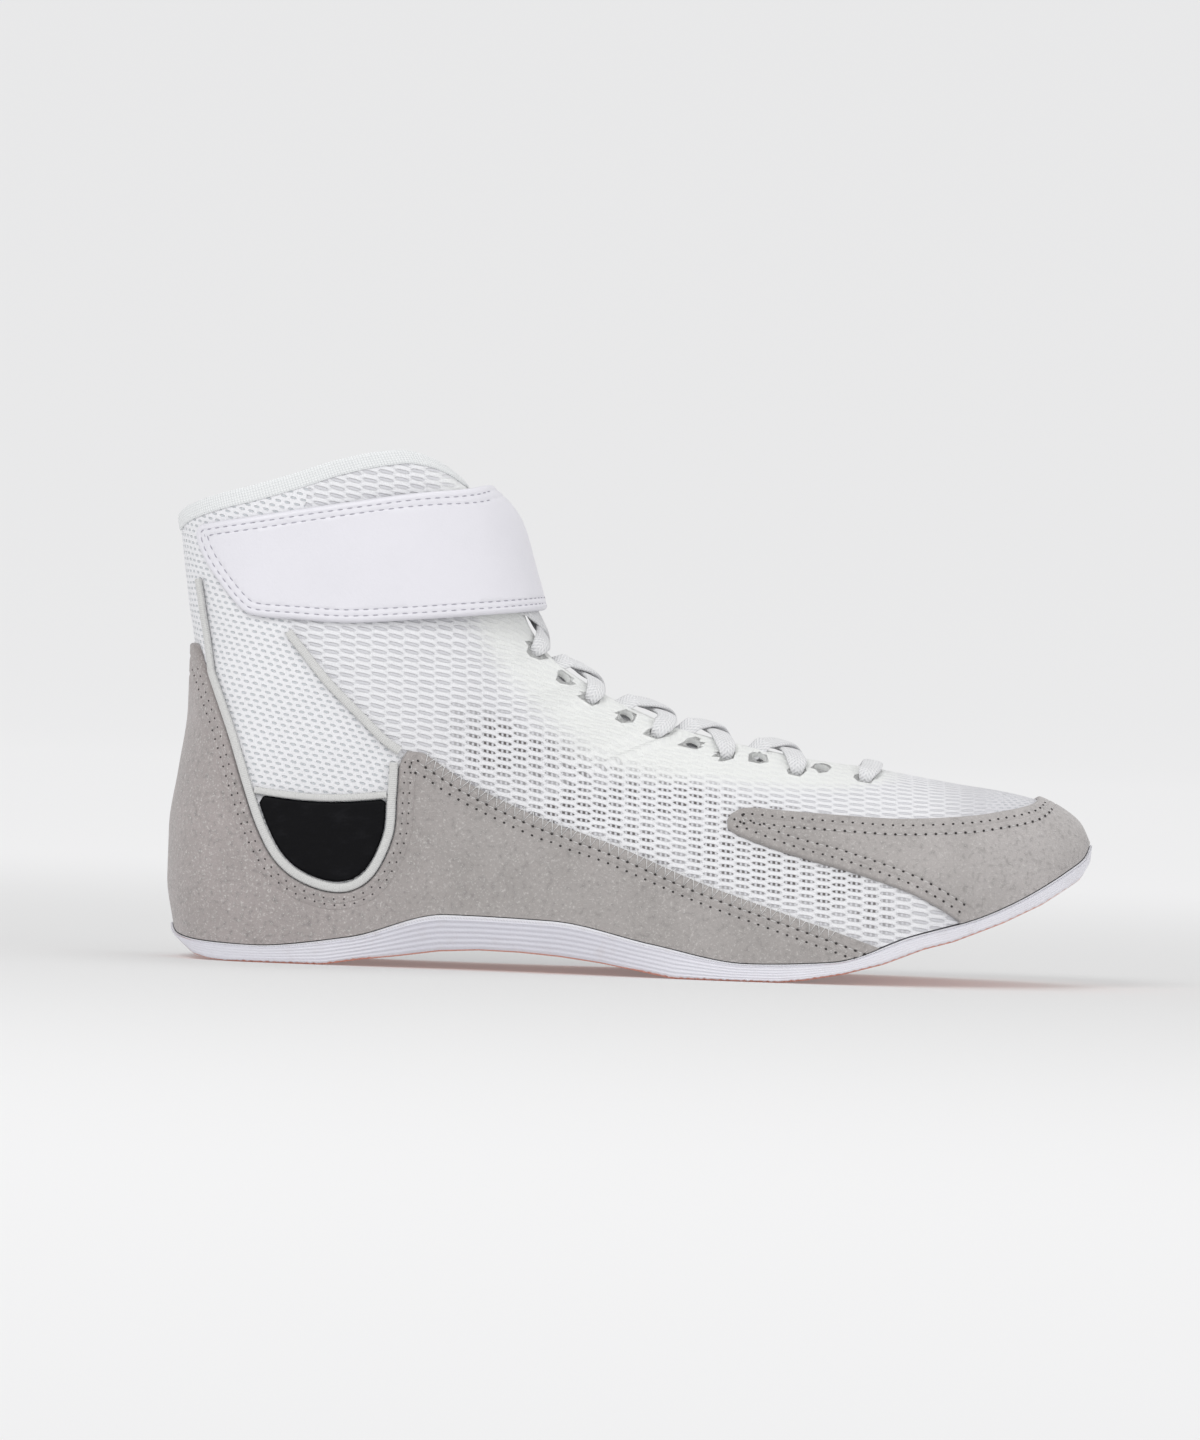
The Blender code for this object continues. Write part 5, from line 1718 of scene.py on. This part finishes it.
def sew(name, tree, lines, pitch, length, thread, finish, turn=0.0, slot=None):
    """Runs the sewing tree along lines of points and directions, and keeps a plain mesh."""
    points = []
    ups = []
    edges = []
    for p, n in lines:
        base = len(points)
        points += [tuple(v) for v in p]
        ups += [tuple(v) for v in n]
        edges += [(base + k, base + k + 1) for k in range(len(p) - 1)]
    mesh = bpy.data.meshes.new(name)
    mesh.from_pydata(points, edges, [])
    layer = mesh.attributes.new("up", "FLOAT_VECTOR", "POINT")
    layer.data.foreach_set("vector", np.array(ups, float).ravel())
    obj = bpy.data.objects.new(name, mesh)
    bpy.context.scene.collection.objects.link(obj)
    mod = obj.modifiers.new("sewing", "NODES")
    mod.node_group = tree
    values = {"Pitch": pitch, "Length": length, "Thread": thread, "Turn": turn, "Material": finish}
    for item in tree.interface.items_tree:
        if item.in_out == "INPUT" and item.name in values:
            mod[item.identifier] = values[item.name]
    apply_modifiers(obj)
    if not obj.data.materials:
        obj.data.materials.append(finish)
    return put(obj, slot=slot)


def build_stitching():
    size = sizes()
    tree = stitch_tree()
    pale = finish_of("pale_thread", thread_finish, "pale_thread", (0.66, 0.65, 0.645))
    # The near-black needle hole finish is painted shade: it stands for the dark inside the needle
    # holes.
    dark = finish_of("needle_hole", thread_finish, "needle_hole", (0.035, 0.03, 0.03))
    violet = finish_of("strap_thread", thread_finish, "strap_thread", (0.44, 0.43, 0.49))
    white = finish_of("white_thread", thread_finish, "white_thread", (0.80, 0.80, 0.80))
    top = GAP + size.suede
    v_rows = []
    edge_rows = []
    zigzags = []
    for side in (-1, 1):
        for inset in V_INSETS:
            v_rows.append(line_points(offset(V_SIDE, -inset)[2:-1], side, top - 0.15 * MM))
        for inset in TOP_INSETS:
            row = offset(TOP_SIDE, -inset)[2:-4]
            edge_rows.append(line_points(row, side, top - 0.15 * MM))
        for inset in TOE_INSETS:
            row = offset(TOE_SIDE, inset)[3:-3]
            edge_rows.append(line_points(row, side, top - 0.15 * MM))
        zigzags.append(zigzag(TOP_SIDE[9:-8], side, top))
    for name, rows, thread, dot in (("v", v_rows, 0.30, 0.62), ("edge", edge_rows, 0.36, 0.85)):
        sew("suede_thread_" + name, tree, rows, size.stitch, size.stitch * 0.66, thread * MM, pale,
            slot="white_piping")
        # Painted shade: near-black beads between the stitches stand for the shadow inside each
        # needle hole.
        holes = []
        for p, n in rows:
            ahead = unit(np.gradient(p, axis=0))
            holes.append((p + ahead * size.stitch / 2 + n * 0.05 * MM, n))
        sew("suede_holes_" + name, tree, holes, size.stitch, dot * 1.15 * MM, dot * MM, dark,
            slot="grey_suede")
    sew("edge_zigzag", thread_tree(), zigzags, 0.0, 0.0, 0.30 * MM, white, slot="white_piping")
    rows = []
    for inset in STRAP_INSETS:
        s, u = places(even(offset(STRAP_SIDE, inset)[1:-1], 1.2 * MM))
        for way in (u, 2 - u):
            on = way < STRAP_END - inset / (42 * MM)
            cuts = np.nonzero(np.diff(on.astype(int)))[0] + 1
            for piece in np.split(np.arange(len(way)), cuts):
                if len(piece) > 4 and on[piece[0]]:
                    a, b = s[piece], way[piece]
                    p = lifted(a, b, GAP + size.strap * 0.87 + strap_hop(b))
                    rows.append((p, normal(a, b)))
    sew("strap_stitches", tree, rows, 3.0 * MM, 1.9 * MM, 0.5 * MM, violet, slot="white_strap")


# Stage

def build_stage():
    c = colours()
    f = Finish("stage_paper", Roughness=0.9, Emission_Strength=1.0)
    x, y, z = f.parts(f.place())
    grain = f.noise(f.place(), 0.35, 2.0)
    # Away from the lamps the paper glows more and reflects less, so that it looks even.
    away = (((x * x + y * y) ** 0.5) + z).soft(0.05, 1.2)
    f.feed(f.shader.inputs["Emission Color"], f.mix(away, (0.15, 0.15, 0.15), (0.715, 0.715, 0.72)))
    tone = f.mix(grain * 0.04, rgb(c.floor), tuple(k * 0.97 for k in c.floor))
    paper = f.done(f.mix(away, tone, (0.12, 0.12, 0.12)))
    bm = bmesh.new()
    shape = [(0.5, 0.0), (1.2, 0.0), (2.4, 0.0), (3.6, 0.0)]
    shape += [(3.6 + 1.5 * math.sin(a), 1.5 - 1.5 * math.cos(a))
              for a in np.linspace(0, math.pi / 2, 14)[1:]]
    shape += [(5.1, 3.0)]
    turns = [(math.cos(a), math.sin(a)) for a in np.linspace(0, 2 * math.pi, 72, endpoint=False)]
    rows = [[bm.verts.new((r * cx, r * cy, h)) for cx, cy in turns] for r, h in shape]
    bm.faces.new(rows[0])
    for low, high in zip(rows[:-1], rows[1:]):
        for k in range(len(turns)):
            bm.faces.new([low[k - 1], low[k], high[k], high[k - 1]])
    floor = finish_mesh("stage_floor", bm, paper, 80)
    world = bpy.data.worlds.new("studio")
    bpy.context.scene.world = world
    world.use_nodes = True
    back = world.node_tree.nodes["Background"]
    back.inputs[0].default_value = (1.0, 1.0, 1.0, 1.0)
    back.inputs[1].default_value = 0.50
    lights = (
        ("key", (-0.7, -1.3, 1.3), 0.9, 12.0),
        ("fill", (1.3, -0.9, 0.6), 1.2, 3.0),
        ("top", (0.15, 0.35, 1.7), 1.0, 5.0),
    )
    for name, where, wide, power in lights:
        lamp = bpy.data.lights.new(name, "AREA")
        lamp.shape = "DISK"
        lamp.size = wide
        lamp.energy = power
        obj = bpy.data.objects.new(name, lamp)
        bpy.context.scene.collection.objects.link(obj)
        obj.location = where
        aim = Vector((0, 0, 0.05)) - Vector(where)
        obj.rotation_euler = aim.to_track_quat("-Z", "Y").to_euler()
    bpy.context.scene.view_settings.view_transform = "Standard"
    put_camera()


CAMERA = {"yaw": 0.0, "rise": 0.7, "roll": 2.05, "far": 3.0, "x": -0.0108, "y": -0.035,
          "z": 0.0783, "frame": 0.3684}


def put_camera():
    """A long lens on the outer side, rolled as in the photo."""
    a = math.radians(CAMERA["yaw"])
    e = math.radians(CAMERA["rise"])
    r = math.radians(CAMERA["roll"])
    look = Vector((math.sin(a) * math.cos(e), math.cos(a) * math.cos(e), -math.sin(e)))
    right = Vector((math.cos(a), -math.sin(a), 0.0))
    up = right.cross(look)
    turned_right = right * math.cos(r) + up * math.sin(r)
    turned_up = up * math.cos(r) - right * math.sin(r)
    lens = bpy.data.cameras.new("camera")
    lens.sensor_fit = "HORIZONTAL"
    lens.sensor_width = 36.0
    lens.lens = 36.0 * CAMERA["far"] / CAMERA["frame"]
    lens.clip_end = 20.0
    cam = bpy.data.objects.new("camera", lens)
    bpy.context.scene.collection.objects.link(cam)
    target = Vector((CAMERA["x"], CAMERA["y"], CAMERA["z"]))
    basis = Matrix((turned_right, turned_up, -look)).transposed().to_4x4()
    cam.matrix_world = Matrix.Translation(target - look * CAMERA["far"]) @ basis
    bpy.context.scene.camera = cam


# Add-on

class SHOE_OT_upper(bpy.types.Operator):
    """Build the mesh upper with its throat and lace holes"""
    bl_idname = "shoe.upper"
    bl_label = "Upper"

    def execute(self, context):
        build_upper()
        return {"FINISHED"}


class SHOE_OT_suede(bpy.types.Operator):
    """Build the suede side panel and toe cap"""
    bl_idname = "shoe.suede"
    bl_label = "Suede"

    def execute(self, context):
        build_suede()
        return {"FINISHED"}


class SHOE_OT_gussets(bpy.types.Operator):
    """Build the black inserts and the tapes"""
    bl_idname = "shoe.gussets"
    bl_label = "Gussets"

    def execute(self, context):
        build_gussets()
        return {"FINISHED"}


class SHOE_OT_strap(bpy.types.Operator):
    """Build the ankle strap"""
    bl_idname = "shoe.strap"
    bl_label = "Strap"

    def execute(self, context):
        build_strap()
        return {"FINISHED"}


class SHOE_OT_binding(bpy.types.Operator):
    """Build the knit band round the collar"""
    bl_idname = "shoe.binding"
    bl_label = "Binding"

    def execute(self, context):
        build_binding()
        return {"FINISHED"}


class SHOE_OT_tongue(bpy.types.Operator):
    """Build the padded tongue"""
    bl_idname = "shoe.tongue"
    bl_label = "Tongue"

    def execute(self, context):
        build_tongue()
        return {"FINISHED"}


class SHOE_OT_laces(bpy.types.Operator):
    """Build the flat laces"""
    bl_idname = "shoe.laces"
    bl_label = "Laces"

    def execute(self, context):
        build_laces()
        return {"FINISHED"}


class SHOE_OT_sole(bpy.types.Operator):
    """Build the rubber sole and the insole"""
    bl_idname = "shoe.sole"
    bl_label = "Sole"

    def execute(self, context):
        build_sole()
        return {"FINISHED"}


class SHOE_OT_stitching(bpy.types.Operator):
    """Sew the stitch rows and the zigzag"""
    bl_idname = "shoe.stitching"
    bl_label = "Stitching"

    def execute(self, context):
        build_stitching()
        return {"FINISHED"}


class SHOE_OT_stage(bpy.types.Operator):
    """Set up floor, lights and camera"""
    bl_idname = "shoe.stage"
    bl_label = "Stage"

    def execute(self, context):
        build_stage()
        return {"FINISHED"}


STEPS = (SHOE_OT_upper, SHOE_OT_suede, SHOE_OT_gussets, SHOE_OT_strap, SHOE_OT_binding,
         SHOE_OT_tongue, SHOE_OT_laces, SHOE_OT_sole, SHOE_OT_stitching, SHOE_OT_stage)


class SHOE_PT_panel(bpy.types.Panel):
    """Sizes, colours and builders of the shoe."""
    bl_label = "Wrestling shoe"
    bl_idname = "SHOE_PT_panel"
    bl_space_type = "VIEW_3D"
    bl_region_type = "UI"
    bl_category = "Shoe"

    def draw(self, context):
        layout = self.layout
        for group in (context.scene.shoe_sizes, context.scene.shoe_colours):
            box = layout.box()
            for name in group.bl_rna.properties.keys():
                if name not in ("rna_type", "name"):
                    box.prop(group, name)
        for step in STEPS:
            layout.operator(step.bl_idname)


CLASSES = (ShoeSizes, ShoeColours) + STEPS + (SHOE_PT_panel,)


def register():
    for cls in CLASSES:
        bpy.utils.register_class(cls)
    bpy.types.Scene.shoe_sizes = PointerProperty(type=ShoeSizes)
    bpy.types.Scene.shoe_colours = PointerProperty(type=ShoeColours)


def unregister():
    del bpy.types.Scene.shoe_colours
    del bpy.types.Scene.shoe_sizes
    for cls in reversed(CLASSES):
        bpy.utils.unregister_class(cls)


def main():
    register()
    for step in STEPS:
        group, name = step.bl_idname.split(".")
        getattr(getattr(bpy.ops, group), name)()


if __name__ == "__main__":
    main()
